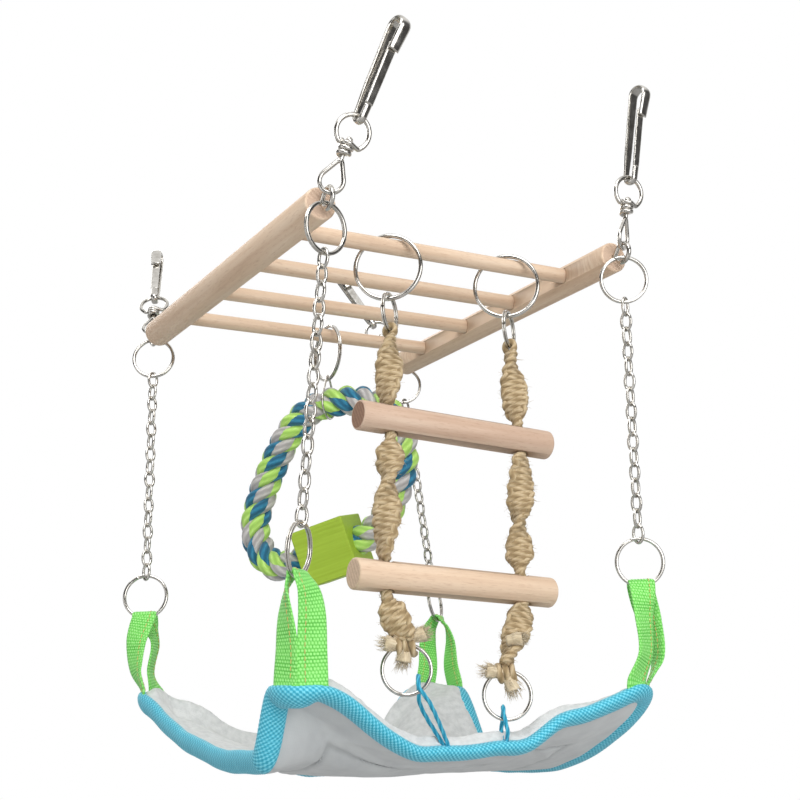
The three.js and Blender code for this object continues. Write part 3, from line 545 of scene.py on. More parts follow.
def woven_webbing(name, valley_shade, body, crest):
    # Woven tape: rows of raised threads with painted highlight on them and painted shade between them, both
    # from the relief attribute
    finish, tree, shader = blank_finish(name)
    relief = add(tree, "ShaderNodeAttribute", {}, "Fac", attribute_name="relief")
    surface = add(tree, "ShaderNodeTexCoord", {}, "UV")
    thread = add(tree, "ShaderNodeMapping", {"Vector": surface, "Scale": (3.2, 3.2, 1)})
    fuzz = add(tree, "ShaderNodeTexNoise", {"Vector": thread, "Scale": 1, "Detail": 3}, "Fac")
    blotch = add(tree, "ShaderNodeMath", {0: fuzz, 1: 0.5}, operation="MULTIPLY")
    height = add(tree, "ShaderNodeMath", {0: relief, 1: blotch}, operation="ADD")
    # The valley colour is painted shade between the threads, and the crest colour is painted highlight on
    # them
    tone = add(tree, "ShaderNodeValToRGB", {"Fac": height}, stops=[(0.3, valley_shade), (1, crest), (0.68, body)])
    bump = add(tree, "ShaderNodeBump", {"Height": fuzz, "Strength": 0.4, "Distance": 0.0002})
    feed(tree, shader, {"Base Color": tone, "Roughness": 0.7, "Sheen Weight": 0.2, "Normal": bump})
    return finish


def stained_block():
    # Lime green stain on softwood: even colour with the grain showing through in fine streaks
    finish, tree, shader = blank_finish("lime_green_stain")
    grain = add(tree, "ShaderNodeAttribute", {}, "Vector", attribute_name="grain")
    streak = add(tree, "ShaderNodeMapping", {"Vector": grain, "Scale": every(30, 1.1, 1.1)})
    lines = add(tree, "ShaderNodeTexNoise", {"Vector": streak, "Scale": 1, "Detail": 5}, "Fac")
    tone = add(tree, "ShaderNodeValToRGB", {"Fac": lines},
               stops=[(0.25, "#99b628"), (0.75, "#aac83d"), (0.5, "#a1bf32")])
    rough = add(tree, "ShaderNodeMapRange", {"Value": lines, "To Min": 0.45, "To Max": 0.7})
    bump = add(tree, "ShaderNodeBump", {"Height": lines, "Strength": 0.4, "Distance": 0.0002})
    feed(tree, shader, {"Base Color": tone, "Roughness": rough, "Normal": bump})
    return finish


def white_plush():
    # Plush pile: off-white, painted a shade greyer, soft and matt, clumped in tufts of two or three
    # millimetres
    finish, tree, shader = blank_finish("white_plush")
    place = add(tree, "ShaderNodeTexCoord", {}, "Object")
    tufts = add(tree, "ShaderNodeTexNoise", {"Vector": place, "Scale": 1 / (2.5 * MM), "Detail": 4}, "Fac")
    hairs = add(tree, "ShaderNodeTexNoise", {"Vector": place, "Scale": 1 / (0.6 * MM), "Detail": 2}, "Fac")
    # These grey-white tones are darker than the off-white pile: painted shade laid over the whole plush
    tone = add(tree, "ShaderNodeValToRGB", {"Fac": tufts}, stops=[(0.25, "#c6c9c9"), (0.65, "#dcdede")])
    height = add(tree, "ShaderNodeMath", {0: tufts, 1: hairs}, operation="ADD")
    bump = add(tree, "ShaderNodeBump", {"Height": height, "Strength": 0.5, "Distance": 0.0005})
    feed(tree, shader, {"Base Color": tone, "Roughness": 1, "Sheen Weight": 0.35, "Normal": bump})
    return finish


def lining_cloth():
    # Tight pale grey lining: smooth plain weave, drawn at 0.7 mm so that the threads still show
    finish, tree, shader = blank_finish("pale_grey_lining")
    surface = add(tree, "ShaderNodeTexCoord", {}, "UV")
    threads = {"Vector": surface, "Scale": 0.314 / 0.7}
    across = add(tree, "ShaderNodeTexWave", threads, "Fac", bands_direction="X")
    down = add(tree, "ShaderNodeTexWave", threads, "Fac", bands_direction="Y")
    weave = add(tree, "ShaderNodeMath", {0: across, 1: down}, operation="ADD")
    cloud = add(tree, "ShaderNodeTexNoise", {"Vector": surface, "Scale": 1 / 9, "Detail": 3}, "Fac")
    tone = add(tree, "ShaderNodeValToRGB", {"Fac": cloud}, stops=[(0.3, "#c3c6c7"), (0.7, "#d0d3d3")])
    relief = add(tree, "ShaderNodeAttribute", {}, "Fac", attribute_name="relief")
    shaded = add(tree, "ShaderNodeMix", {FACTOR: relief, COLOUR_A: linear("#9a9e9f"), COLOUR_B: tone},
                 MIXED_COLOUR, data_type="RGBA")
    bump = add(tree, "ShaderNodeBump", {"Height": weave, "Strength": 0.12, "Distance": 0.0001})
    feed(tree, shader, {"Base Color": shaded, "Roughness": 0.75, "Sheen Weight": 0.15, "Normal": bump})
    return finish


BEECH = sanded_beech("sanded_beech", "#ceaf93", "#ddc2a7", "#e7d1b9", "#b58e72")
RED_BEECH = sanded_beech("reddish_beech", "#bf9f88", "#cdb19b", "#d8c1ac", "#a37c66")
END_GRAIN = beech_end_grain("beech_end_grain", "#cdb098", "#dec3ac", "#b3947c")
# The upper ladder rung's darker end grain is partly its stain and partly painted shade
SHADED_STAINED_END_GRAIN = beech_end_grain("shaded_stained_beech_end_grain", "#8f6f5b", "#a5826b", "#6f5142")
NICKEL = nickel_plate()
# In each fibre and webbing finish below, the first colour is painted shade for furrows and gaps, and the last
# the lighter crests
JUTE = spun_fibre("natural_jute", "#957f5c", "#b8a27e", "#d2c0a0", 35, 0.1)
FRAYED_JUTE = spun_fibre("frayed_jute", "#b5a17f", "#d3c3a5", "#e8dcc6", 35, 0.2)
LIME_COTTON = spun_fibre("lime_cotton", "#a0cf5e", "#bbe672", "#cdf094", 20, 0.3)
TEAL_COTTON = spun_fibre("teal_cotton", "#1c5f7d", "#287a9e", "#4396b6", 20, 0.3)
GREY_COTTON = spun_fibre("grey_cotton", "#a5a2a0", "#c2bfbd", "#d8d6d3", 20, 0.3)
BLUE_CORD = spun_fibre("blue_cord", "#1b87a8", "#2ea7c6", "#6ac8de", 30, 0.2)
GREEN_WEBBING = woven_webbing("green_webbing", "#4cb038", "#72d257", "#a0ec88")
BLUE_WEBBING = woven_webbing("sky_blue_webbing", "#1689a2", "#31aecb", "#7fd9ea")
ORANGE_THREAD = spun_fibre("orange_thread", "#b8923e", "#d2ae58", "#e2c884", 30, 0.1)
GREY_THREAD = spun_fibre("grey_thread", "#8d9193", "#b4b8ba", "#d0d3d4", 30, 0.1)
GREEN_STAIN = stained_block()
PLUSH = white_plush()
LINING = lining_cloth()


# Lines to follow

def length_of(line):
    return sum((b - a).length for a, b in zip(line, line[1:]))


def spaced(points, step, closed=False):
    line = list(points) + ([points[0]] if closed else [])
    reach = [0.0]
    for a, b in zip(line, line[1:]):
        reach.append(reach[-1] + (b - a).length)
    count = max(2, round(reach[-1] / step))
    result = []
    at = 0
    for i in range(count if closed else count + 1):
        target = reach[-1] * i / count
        while at < len(reach) - 2 and reach[at + 1] < target:
            at += 1
        share = (target - reach[at]) / max(reach[at + 1] - reach[at], 1e-9)
        result.append(line[at].lerp(line[at + 1], share))
    return result


def curve_through(points, step):
    # Centripetal curve through the points, as a bent wire or a lying rope takes
    line = [2 * points[0] - points[1], *points, 2 * points[-1] - points[-2]]
    pieces = 24
    dense = []
    for p0, p1, p2, p3 in zip(line, line[1:], line[2:], line[3:]):
        knot = [0.0]
        for a, b in ((p0, p1), (p1, p2), (p2, p3)):
            knot.append(knot[-1] + max((b - a).length, 1e-6) ** 0.5)
        for i in range(pieces):
            t = knot[1] + (knot[2] - knot[1]) * i / pieces
            a1 = p0.lerp(p1, (t - knot[0]) / (knot[1] - knot[0]))
            a2 = p1.lerp(p2, (t - knot[1]) / (knot[2] - knot[1]))
            a3 = p2.lerp(p3, (t - knot[2]) / (knot[3] - knot[2]))
            b1 = a1.lerp(a2, (t - knot[0]) / (knot[2] - knot[0]))
            b2 = a2.lerp(a3, (t - knot[1]) / (knot[3] - knot[1]))
            dense.append(b1.lerp(b2, (t - knot[1]) / (knot[2] - knot[1])))
    dense.append(points[-1])
    return spaced(dense, step)


def arc(radius, start, end, steps, lift=0.0):
    # Points of an arc in the XZ plane, in degrees, about a centre at some height
    angles = [math.radians(start + (end - start) * i / steps) for i in range(steps + 1)]
    return [Vector((radius * math.cos(a), 0, lift + radius * math.sin(a))) for a in angles]


def belt(low, high, height, step):
    # Closed line round two circles in the XZ plane, the lower at height 0
    lean = math.degrees(math.asin((low - high) / height))
    points = arc(low, 180 - lean, 360 + lean, 24) + arc(high, lean, 180 - lean, 24, height)
    return spaced(points, step, closed=True)


def moved(place, points):
    return [place @ p for p in points]


def at(x, y, z):
    return Matrix.Translation((x, y, z))


def spin(degrees):
    return Matrix.Rotation(math.radians(degrees), 4, "Z")


def lifted(z):
    return at(0, 0, z)


def smooth_step(x):
    x = min(max(x, 0.0), 1.0)
    return x * x * (3 - 2 * x)


def fold(place, ends):
    # Rises smoothly from 0 to 1 between two places
    return smooth_step((place - ends[0]) / (ends[1] - ends[0]))


def hump(distance, width):
    return math.exp(-(distance / width) ** 2)


# Sections and sweeps

def round_wire(diameter, sides=10, flat=1.0):
    r = diameter / 2
    angles = [TURN * j / sides for j in range(sides)]
    ring = [(flat * r * math.cos(a), r * math.sin(a), 1.0) for a in angles]
    return lambda i, reach: ring


def share_of(stops, place):
    # Value at a place between the stops of a list of places and values
    for (a, low), (b, high) in zip(stops, stops[1:]):
        if place <= b:
            return low + (high - low) * smooth_step((place - a) / (b - a))
    return stops[-1][1]


def domed_strip(widths, thickness, dome, across=10):
    # Stamped strip, flat inside and rounded outside, whose width changes along its length
    def section(i, reach):
        width = share_of(widths, reach)
        inner = []
        outer = []
        for j in range(across + 1):
            x = 2 * j / across - 1
            drop = dome * (1 - abs(x) ** 2.4)
            edge = STRIP_EDGE * abs(x) ** 8
            inner.append((x * width / 2, thickness / 2 - edge, 1.0))
            outer.append((x * width / 2, -thickness / 2 - drop + edge, 1.0))
        return inner + outer[::-1]
    return section


def plied(diameter, plies, depth, pitch, sides=10):
    # Section of a cord laid from a few plies, whose furrows run round it with the twist
    def section(i, reach):
        ring = []
        for j in range(sides):
            a = TURN * j / sides
            crest = math.cos(plies * a - TURN * reach / pitch)
            r = diameter / 2 * (1 - depth + depth * crest)
            # The third value is the relief, which the fibre finishes turn into painted shade in the furrows
            # between the plies
            ring.append((r * math.cos(a), r * math.sin(a), 0.5 + 0.5 * crest))
        return ring
    return section


def carried(path, closed, up):
    # A pair of cross directions at each point of a line, without needless twist
    count = len(path)
    ahead = []
    for i in range(count):
        last = path[i - 1] if i > 0 or closed else path[i]
        following = path[(i + 1) % count] if i + 1 < count or closed else path[i]
        ahead.append((following - last).normalized())
    across = ahead[0].orthogonal()
    pairs = []
    for i, t in enumerate(ahead):
        if up is not None:
            across = up[i] if isinstance(up, list) else up
        elif i > 0:
            across = ahead[i - 1].rotation_difference(t) @ across
        across = (across - t * across.dot(t)).normalized()
        pairs.append((across.copy(), t.cross(across)))
    return pairs


def new_shape():
    shape = bmesh.new()
    shape.loops.layers.uv.new("UVMap")
    shape.verts.layers.float.new("relief")
    return shape


def sweep(path, section, closed=False, up=None):
    # Bends a grid into a tube round a line, one row of it for each point
    tube = new_shape()
    uv = tube.loops.layers.uv["UVMap"]
    relief = tube.verts.layers.float["relief"]
    pairs = carried(path, closed, up)
    rows = len(path) if closed else len(path) - 1
    reach = [0.0]
    for i in range(1, rows + 1):
        reach.append(reach[-1] + (path[i % len(path)] - path[i - 1]).length)
    rings = [section(i, reach[i]) for i in range(len(path))]
    sides = len(rings[0])
    bmesh.ops.create_grid(tube, x_segments=sides, y_segments=rows, size=0.5)
    for face in tube.faces:
        for loop in face.loops:
            x, y, z = loop.vert.co
            loop[uv].uv = (x + 0.5, reach[round((y + 0.5) * rows)])
    for vert in tube.verts:
        i = round((vert.co.y + 0.5) * rows) % len(path)
        across, over = pairs[i]
        x, y, height = rings[i][round((vert.co.x + 0.5) * sides) % sides]
        vert.co = path[i] + across * x + over * y
        vert[relief] = height
    bmesh.ops.remove_doubles(tube, verts=tube.verts, dist=1e-4)
    if not closed:
        bmesh.ops.holes_fill(tube, edges=[e for e in tube.edges if e.is_boundary], sides=0)
    return tube


def pour(shape, part, finish=0):
    # Adds a made part to a piece's shape, with the place of its finish
    for face in part.faces:
        face.material_index = finish
        face.smooth = True
    spare = bpy.data.meshes.new("spare")
    part.to_mesh(spare)
    part.free()
    shape.from_mesh(spare)
    bpy.data.meshes.remove(spare)


def swept(path, section, closed=False, up=None):
    # A piece's whole shape from one sweep
    shape = new_shape()
    pour(shape, sweep(path, section, closed, up))
    return shape


def ball(diameter, centre):
    part = new_shape()
    bmesh.ops.create_uvsphere(part, u_segments=16, v_segments=10, radius=diameter / 2,
                              matrix=Matrix.Translation(centre))
    return part


def dowel(diameter, length, place, seed):
    # Turned stick along its own Z with broken end edges; its grain runs with it
    stick = bmesh.new()
    bmesh.ops.create_cone(stick, cap_ends=True, segments=56, radius1=diameter / 2, radius2=diameter / 2,
                          depth=length)
    rims = [e for e in stick.edges if abs(e.verts[0].co.z - e.verts[1].co.z) < 1e-4]
    bmesh.ops.bevel(stick, geom=rims, offset=WOOD_EDGE, segments=3, profile=0.5, affect="EDGES", material=-1)
    grain = stick.verts.layers.float_vector.new("grain")
    for vert in stick.verts:
        vert[grain] = vert.co + GRAIN_SHIFT * seed
    for face in stick.faces:
        face.smooth = len(face.verts) == 4
        face.material_index = 0 if len(face.verts) == 4 else 1
    bmesh.ops.transform(stick, matrix=place, verts=stick.verts)
    return stick


# Pieces

def made(name, shape, finishes):
    bmesh.ops.scale(shape, vec=(MM, MM, MM), verts=shape.verts)
    bmesh.ops.recalc_face_normals(shape, faces=shape.faces)
    mesh = bpy.data.meshes.new(name)
    shape.to_mesh(mesh)
    shape.free()
    for finish in finishes:
        mesh.materials.append(finish)
    piece = bpy.data.objects.new(name, mesh)
    bpy.context.scene.collection.objects.link(piece)
    return piece


def drilled(piece, holes):
    # Takes straight holes out of a finished piece: each a place, a diameter and a depth
    drill = bmesh.new()
    for place, diameter, depth in holes:
        bmesh.ops.create_cone(drill, cap_ends=True, segments=40, radius1=diameter / 2, radius2=diameter / 2,
                              depth=depth, matrix=place)
    cutter = made("drill", drill, [])
    hole = piece.modifiers.new("holes", "BOOLEAN")
    hole.object = cutter
    hole.operation = "DIFFERENCE"
    hole.solver = "EXACT"
    graph = bpy.context.evaluated_depsgraph_get()
    solid = piece.data
    piece.data = bpy.data.meshes.new_from_object(piece.evaluated_get(graph), depsgraph=graph)
    piece.modifiers.clear()
    bpy.data.objects.remove(cutter)
    bpy.data.meshes.remove(solid)


def fitted(node, make, shape, finishes, body, holes=()):
    # The piece that stands for a node: named for it and for how it is made
    piece = made(f"{node}_{make}", shape, finishes)
    if holes:
        drilled(piece, holes)
    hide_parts(node)
    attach(piece, body)
    return piece


def metal(node, make, shape, body):
    return fitted(node, make, shape, [NICKEL], body)


def trim(name, shape, finish, body):
    # A piece of its own, which stands for no node
    piece = made(name, shape, [finish])
    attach(piece, body)
    return piece


# Bridge

ALONG_Y = Matrix.Rotation(math.pi / 2, 4, "X")
ALONG_X = Matrix.Rotation(math.pi / 2, 4, "Y")

for seed, (name, side) in enumerate((("left", -1), ("right", 1))):
    sockets = [(at(side * (RAIL_X - RAIL_DIAMETER / 2), y, 0) @ ALONG_X, RUNG_DIAMETER + GAP, RAIL_DIAMETER)
               for y in RUNG_Y]
    screw_holes = [(at(side * RAIL_X, end * RAIL_LENGTH / 2, 0) @ ALONG_Y, EYE_WIRE + GAP, SCREW_HOLE_DEPTH)
                   for end in (-1, 1)]
    rail = dowel(RAIL_DIAMETER, RAIL_LENGTH, at(side * RAIL_X, 0, 0) @ ALONG_Y, seed + 1)
    fitted(f"rail_{name}", "dowel", rail, [BEECH, END_GRAIN], "bridge", sockets + screw_holes)

for i, y in enumerate(RUNG_Y):
    rung = dowel(RUNG_DIAMETER, RUNG_LENGTH, at(0, y, 0) @ ALONG_X, i + 4)
    fitted(f"rung_{i + 1}", "dowel", rung, [BEECH, END_GRAIN], "bridge")


# Screw eyes, swivels, hooks and chains at each corner

def eye_contact(direction):
    return Vector((0, direction.y, direction.z)).normalized() * EYE_RADIUS


def hung_along(origin, down, tangent):
    z = -down.normalized()
    x = (tangent - z * tangent.dot(z)).normalized()
    y = z.cross(x)
    return Matrix.Translation(origin) @ Matrix((x, y, z)).transposed().to_4x4()


def split_ring(radius, place, coil):
    # Two turns of flattened wire side by side, stepping across once, as a key ring is wound
    wide, deep = coil
    points = []
    for i in range(COIL_STEPS + 1):
        turn = 2 * i / COIL_STEPS
        shift = (fold(turn, COIL_CROSSING) - 0.5) * (wide + COIL_GAP)
        a = TURN * (turn + COIL_START)
        points.append(Vector((radius * math.cos(a), shift, radius * math.sin(a))))
    return swept(moved(place, points), round_wire(deep, 10, wide / deep), up=place.to_3x3() @ Y_AXIS)


def screw_eye(place):
    points = [Vector((0, y, 0)) for y in (*EYE_SHANK, -EYE_RADIUS - EYE_NECK)]
    for degrees in EYE_BEND:
        a = math.radians(degrees)
        points.append(Vector((0, -EYE_RADIUS * math.cos(a), EYE_RADIUS * math.sin(a))))
    path = moved(place, curve_through(points, WIRE_STEP))
    return swept(path, round_wire(EYE_WIRE, 12), up=place.to_3x3() @ X_AXIS)


def swivel_loop(place):
    drop = belt(LOOP_RADIUS, LOOP_NECK, LOOP_RISE, LOOP_STEP)
    outline = moved(place @ lifted(LOOP_BOTTOM + LOOP_RADIUS), drop)
    shape = swept(outline, round_wire(LOOP_WIRE, 12), closed=True, up=place.to_3x3() @ Y_AXIS)
    stem = spaced(moved(place, [UP * STEM_FOOT_Z, UP * STEM_HEAD_Z]), STEM_STEP)
    pour(shape, sweep(stem, round_wire(LOOP_WIRE, 12)))
    pour(shape, ball(STEM_HEAD, place @ (UP * STEM_HEAD_Z)))
    return shape


def swivel_ring(place):
    # The wire winds round the stem, opens into the ring and ends on its own winding
    points = []
    for i in range(int(SWIVEL_TURNS * WINDING_STEPS) + 1):
        a = TURN * (i / WINDING_STEPS - SWIVEL_TURNS) - math.pi / 2
        z = WINDING_START - SWIVEL_CENTRE + SWIVEL_PITCH * i / WINDING_STEPS
        points.append(Vector((WINDING_RADIUS * math.cos(a), WINDING_RADIUS * math.sin(a), z)))
    points += arc(SWIVEL_EYE, *SWIVEL_ARC, 30, SWIVEL_RADIUS - SWIVEL_EYE)
    points.append(Vector(SWIVEL_END))
    return swept(moved(place, curve_through(points, SWIVEL_STEP)), round_wire(SWIVEL_WIRE, 12))


def bent_strip(place, flat, widths, dome):
    path = moved(place, spaced([Vector((0, y, z)) for y, z in flat], WIRE_STEP))
    return swept(path, domed_strip(widths, STRIP_THICKNESS, dome), up=place.to_3x3() @ X_AXIS)


def hook_body(place):
    bends = arc(CUP_RADIUS, 0, -180, 20) + arc(CROWN_RADIUS, 180, 0, 28, CROWN_Z)
    flat = [(CUP_RADIUS, LUG_LENGTH), *((p.x, p.z) for p in bends), (CROWN_RADIUS - TIP_LEAN, TIP_Z)]
    return bent_strip(place, flat, HOOK_WIDTHS, HOOK_DOME)


def hook_gate(place):
    flat = [(CUP_RADIUS, LUG_LENGTH + GAP), (CUP_RADIUS, LUG_LENGTH + GATE_FOOT), (GATE_TOP_Y, GATE_TOP_Z)]
    return bent_strip(place, flat, GATE_WIDTHS, -HOOK_DOME)


def chain(place, first, twist, seed):
    # Oval links threaded through each other, each turned a little from its true quarter
    dice = random.Random(seed)
    shape = new_shape()
    for i in range(CHAIN_LINKS):
        turn = first + 90 * (i % 2) + twist * fold(i, CHAIN_TWIST_LINKS) + dice.uniform(-LINK_SLOP, LINK_SLOP)
        spot = place @ lifted(CHAIN_TOP - i * LINK_STEP - LINK_SPAN / 2) @ spin(turn)
        oval = [Vector((LINK_HALF_WIDTH * math.cos(a), 0, LINK_SPAN / 2 * math.sin(a)))
                for a in (TURN * k / LINK_STEPS for k in range(LINK_STEPS))]
        side = spot.to_3x3() @ Y_AXIS
        pour(shape, sweep(moved(spot, oval), round_wire(LINK_WIRE, 8), closed=True, up=side))
    return shape


for seed, (name, corner) in enumerate(CORNERS.items()):
    sx, sy = corner["side"]
    eye = Vector((sx * RAIL_X, sy * EYE_Y, 0))
    eye_place = Matrix.Translation(eye) @ spin(0 if sy > 0 else 180)
    metal(f"screw_eye_{name}", "wire", screw_eye(eye_place), "bridge")

    lean = Vector(corner["lean"])
    line = Matrix.Translation(eye + eye_contact(lean)) @ UP.rotation_difference(lean).to_matrix().to_4x4()
    swivel = line @ lifted(SWIVEL_CENTRE) @ spin(corner["swivel"])
    hook = swivel @ lifted(SWIVEL_RADIUS) @ spin(180 + corner["hook"])
    metal(f"swivel_loop_{name}", "wire", swivel_loop(line @ spin(corner["loop"])), f"loop_{name}")
    metal(f"swivel_ring_{name}", "wire", swivel_ring(swivel), f"swivel_{name}")
    metal(f"hook_body_{name}", "strip", hook_body(hook), f"hook_{name}")
    metal(f"hook_gate_{name}", "strip", hook_gate(hook), f"gate_{name}")

    anchor = Vector((sx * (ANCHOR_X - RAIL_X), sy * (ANCHOR_Y - EYE_Y), ANCHOR_Z))
    contact = eye_contact(anchor)
    hanger = hung_along(eye + contact, anchor - contact, X_AXIS)
    for kind, z, turn in (("top", TOP_RING_Z, corner["top"]), ("bottom", FOOT_RING_Z, corner["foot"])):
        ring = split_ring(CHAIN_RING_RADIUS, hanger @ lifted(z) @ spin(turn), CHAIN_COIL)
        metal(f"{kind}_ring_{name}", "split", ring, f"hanger_{name}")
    links = chain(hanger, corner["link"], corner["twist"], seed)
    metal(f"chain_{name}", "links", links, f"hanger_{name}")


# Hammock

def rim_inset(x, y):
    # Distance from a flat place to the hem's rounded outline
    dx = abs(x) - HALF_WIDTH + HAMMOCK_CORNER
    dy = abs(y) - HALF_LENGTH + HAMMOCK_CORNER
    outside = math.hypot(max(dx, 0), max(dy, 0)) + min(max(dx, dy), 0)
    return HAMMOCK_CORNER - outside


def hang(u, v):
    # Where a place of the flat cloth hangs: its edges sag between the corners, each in its own way
    side = abs(u) ** EDGE_FULLNESS
    end = abs(v) ** EDGE_FULLNESS
    left_fold = fold(-v, LEFT_FOLD)
    front_fold = fold(-u, FRONT_FOLD)
    left_lift = max(left_fold, max(0, (v + LEFT_LOW) / (1 + LEFT_LOW)) ** LEFT_FULLNESS)
    right_lift = abs(v) ** RIGHT_FULLNESS if v < 0 else fold(v, RIGHT_FOLD)
    gather = sum(deep * hump(u - place, FRONT_GATHER_WIDTH) for place, deep in FRONT_GATHERS)
    front_lift = front_fold if u < 0 else abs(u) ** FRONT_FULLNESS - gather
    back_lift = abs(u) ** BACK_FULLNESS if u < 0 else fold(u, BACK_FOLD)
    side_sag = LEFT_SAG * (1 - left_lift) if u < 0 else RIGHT_SAG * (1 - right_lift)
    end_sag = FRONT_SAG * (1 - front_lift) if v < 0 else BACK_SAG * (1 - back_lift)
    sag = side_sag * side + end_sag * end + MIDDLE_SAG * (1 - side) * (1 - end)
    sag += NEAR_LEFT_DROP * left_fold * front_fold
    sag -= FAR_LEFT_RISE * fold(-u, FAR_LEFT_ACROSS) * fold(v, FAR_LEFT_ALONG)
    inset = rim_inset(u * HALF_WIDTH, v * HALF_LENGTH)
    curl = LEFT_CURL * fold(-u, LEFT_CURL_ACROSS) * (1 - left_fold)
    sag += curl * (1 - math.exp(-max(inset, 0) / LEFT_CURL_RISE)) * (1 - fold(inset, LEFT_CURL_FADE))
    sag += HEM_WAVE * noise.noise(Vector((u * HEM_WAVES, v * HEM_WAVES, 3))) * max(side, end) ** 3
    x = u * (HALF_WIDTH - SIDE_DRAW * (1 - v * v))
    y = v * (HALF_LENGTH - FRONT_DRAW * (1 - u * u))
    return Vector((x, y, CORNER_Z - sag))


def hang_flat(x, y):
    return hang(x / HALF_WIDTH, y / HALF_LENGTH)


def cut_corner(u, v, inset):
    # Rounds the corners of a square sheet's flat outline
    width = HALF_WIDTH - inset
    length = HALF_LENGTH - inset
    r = HAMMOCK_CORNER - inset
    x = abs(u) * width
    y = abs(v) * length
    dx = max(0.0, (x - width + r) / r)
    dy = max(0.0, (y - length + r) / r)
    if dx > 0 and dy > 0:
        x = width - r + r * dx * math.sqrt(1 - dy * dy / 2)
        y = length - r + r * dy * math.sqrt(1 - dx * dx / 2)
    return math.copysign(x, u), math.copysign(y, v)


def to_crease(x, y):
    # Distance from a flat place to the nearest crease
    here = Vector((x, y))
    reach = []
    for start, end in CREASES:
        a = Vector(start)
        b = Vector(end)
        share = min(max((here - a).dot(b - a) / (b - a).length_squared, 0), 1)
        reach.append((here - a.lerp(b, share)).length)
    return min(reach)


def mottle(x, y, grain, layer):
    # Soft random ups and downs of some size and height
    size, height = grain
    return height * noise.noise(Vector((x / size, y / size, layer)))


def plush_at(x, y, inset):
    # How far the plush stands off the cloth, and how high its roll along the rim stands
    u = x / HALF_WIDTH
    v = y / HALF_LENGTH
    pile = (mottle(x, y, FINE_TUFT, 0) + mottle(x, y, BROAD_TUFT, 5)) * smooth_step(inset / PAD_LIP)
    low, high = PLUSH_ROLL
    tall = low + (high - low) * smooth_step(v + PLUSH_ROLL_FRONT)
    for cut, ends in RIGHT_ROLL_CUTS:
        tall *= 1 - cut * fold(u, ends)
    tall *= 1 - LEFT_ROLL_CUT * fold(-u, LEFT_ROLL_ACROSS) * (1 - fold(v, LEFT_ROLL_ALONG))
    lump = 1 + mottle(x, y, PLUSH_LUMP, 8)
    return pile, tall * lump * hump(inset - PLUSH_ROLL_INSET, PLUSH_ROLL_WIDTH)


def lining_at(x, y, inset):
    # How far the lining stands off the cloth, and how much light its sewn groove and puckers leave it
    to_seam = abs(max(abs(x) - (HALF_WIDTH - SEAM_INSET), abs(y) - (HALF_LENGTH - SEAM_INSET)))
    pucker = mottle(x, y, PUCKER, 9) * hump(to_seam, PUCKER_REACH)
    dents = mottle(x, y, BROAD_DENT, 2) + mottle(x, y, SMALL_DENT, 7)
    ridge = CREASE_HEIGHT * hump(to_crease(x, y), CREASE_WIDTH)
    shade, width = SEAM_SHADE
    groove = SEAM_DEPTH * hump(to_seam, SEAM_WIDTH)
    height = pucker - groove + (dents + ridge) * smooth_step(inset / LINING_LIP)
    return height, 1 - shade * hump(to_seam, width) - abs(pucker)


def pad():
    # A sheet of lining below and one of plush above, closed at the rim
    shape = new_shape()
    uv = shape.loops.layers.uv["UVMap"]
    relief = shape.verts.layers.float["relief"]
    bmesh.ops.create_grid(shape, x_segments=PAD_STEPS, y_segments=PAD_STEPS, size=1)
    over = bmesh.ops.extrude_face_region(shape, geom=shape.faces[:], use_keep_orig=True)["geom"]
    bmesh.ops.translate(shape, vec=UP, verts=[v for v in over if isinstance(v, bmesh.types.BMVert)])
    bmesh.ops.recalc_face_normals(shape, faces=shape.faces)
    for face in shape.faces:
        face.smooth = True
        face.material_index = 1 if min(v.co.z for v in face.verts) > 0.5 else 0
        for loop in face.loops:
            loop[uv].uv = (loop.vert.co.x * HALF_WIDTH, loop.vert.co.y * HALF_LENGTH)
    near = 0.01
    for vert in shape.verts:
        u, v, top = vert.co
        x, y = cut_corner(u, v, PAD_RIM)
        k = max(abs(u), abs(v))
        u = x / HALF_WIDTH
        v = y / HALF_LENGTH
        across = hang(u + near, v) - hang(u - near, v)
        along = hang(u, v + near) - hang(u, v - near)
        normal = across.cross(along).normalized()
        half = (HAMMOCK_EDGE_THICKNESS + (HAMMOCK_THICKNESS - HAMMOCK_EDGE_THICKNESS) * (1 - k ** 4)) / 2
        inset = rim_inset(x, y)
        if top > 0.5:
            pile, roll = plush_at(x, y, inset)
            vert[relief] = 1
            vert.co = hang(u, v) + normal * (half + pile) + UP * roll
        else:
            height, vert[relief] = lining_at(x, y, inset)
            vert.co = hang(u, v) - normal * (half + height)
    return shape


def hem_line(step):
    # The hem's line, and the way into the cloth at each of its points
    corners = []
    width = HALF_WIDTH - HAMMOCK_CORNER
    length = HALF_LENGTH - HAMMOCK_CORNER
    for cx, cy, start in ((1, 1, 0), (-1, 1, 90), (-1, -1, 180), (1, -1, 270)):
        for k in range(HEM_CORNER_STEPS + 1):
            a = math.radians(start + 90 * k / HEM_CORNER_STEPS)
            x = cx * width + HAMMOCK_CORNER * math.cos(a)
            corners.append(Vector((x, cy * length + HAMMOCK_CORNER * math.sin(a), 0)))
    flat = spaced(corners, step / 4, closed=True)
    line = []
    inward = []
    for i, p in enumerate(flat):
        here = hang_flat(p.x, p.y)
        if line and (here - line[-1]).length < step:
            continue
        ahead = flat[(i + 1) % len(flat)] - flat[i - 1]
        inner = p + UP.cross(ahead).normalized() * HEM_TURN_IN
        stand = LEFT_STAND * fold(-p.x / HALF_WIDTH, LEFT_STAND_ACROSS)
        into = (hang_flat(inner.x, inner.y) - here).normalized()
        line.append(here)
        inward.append((into - UP * stand).normalized())
    return line, inward


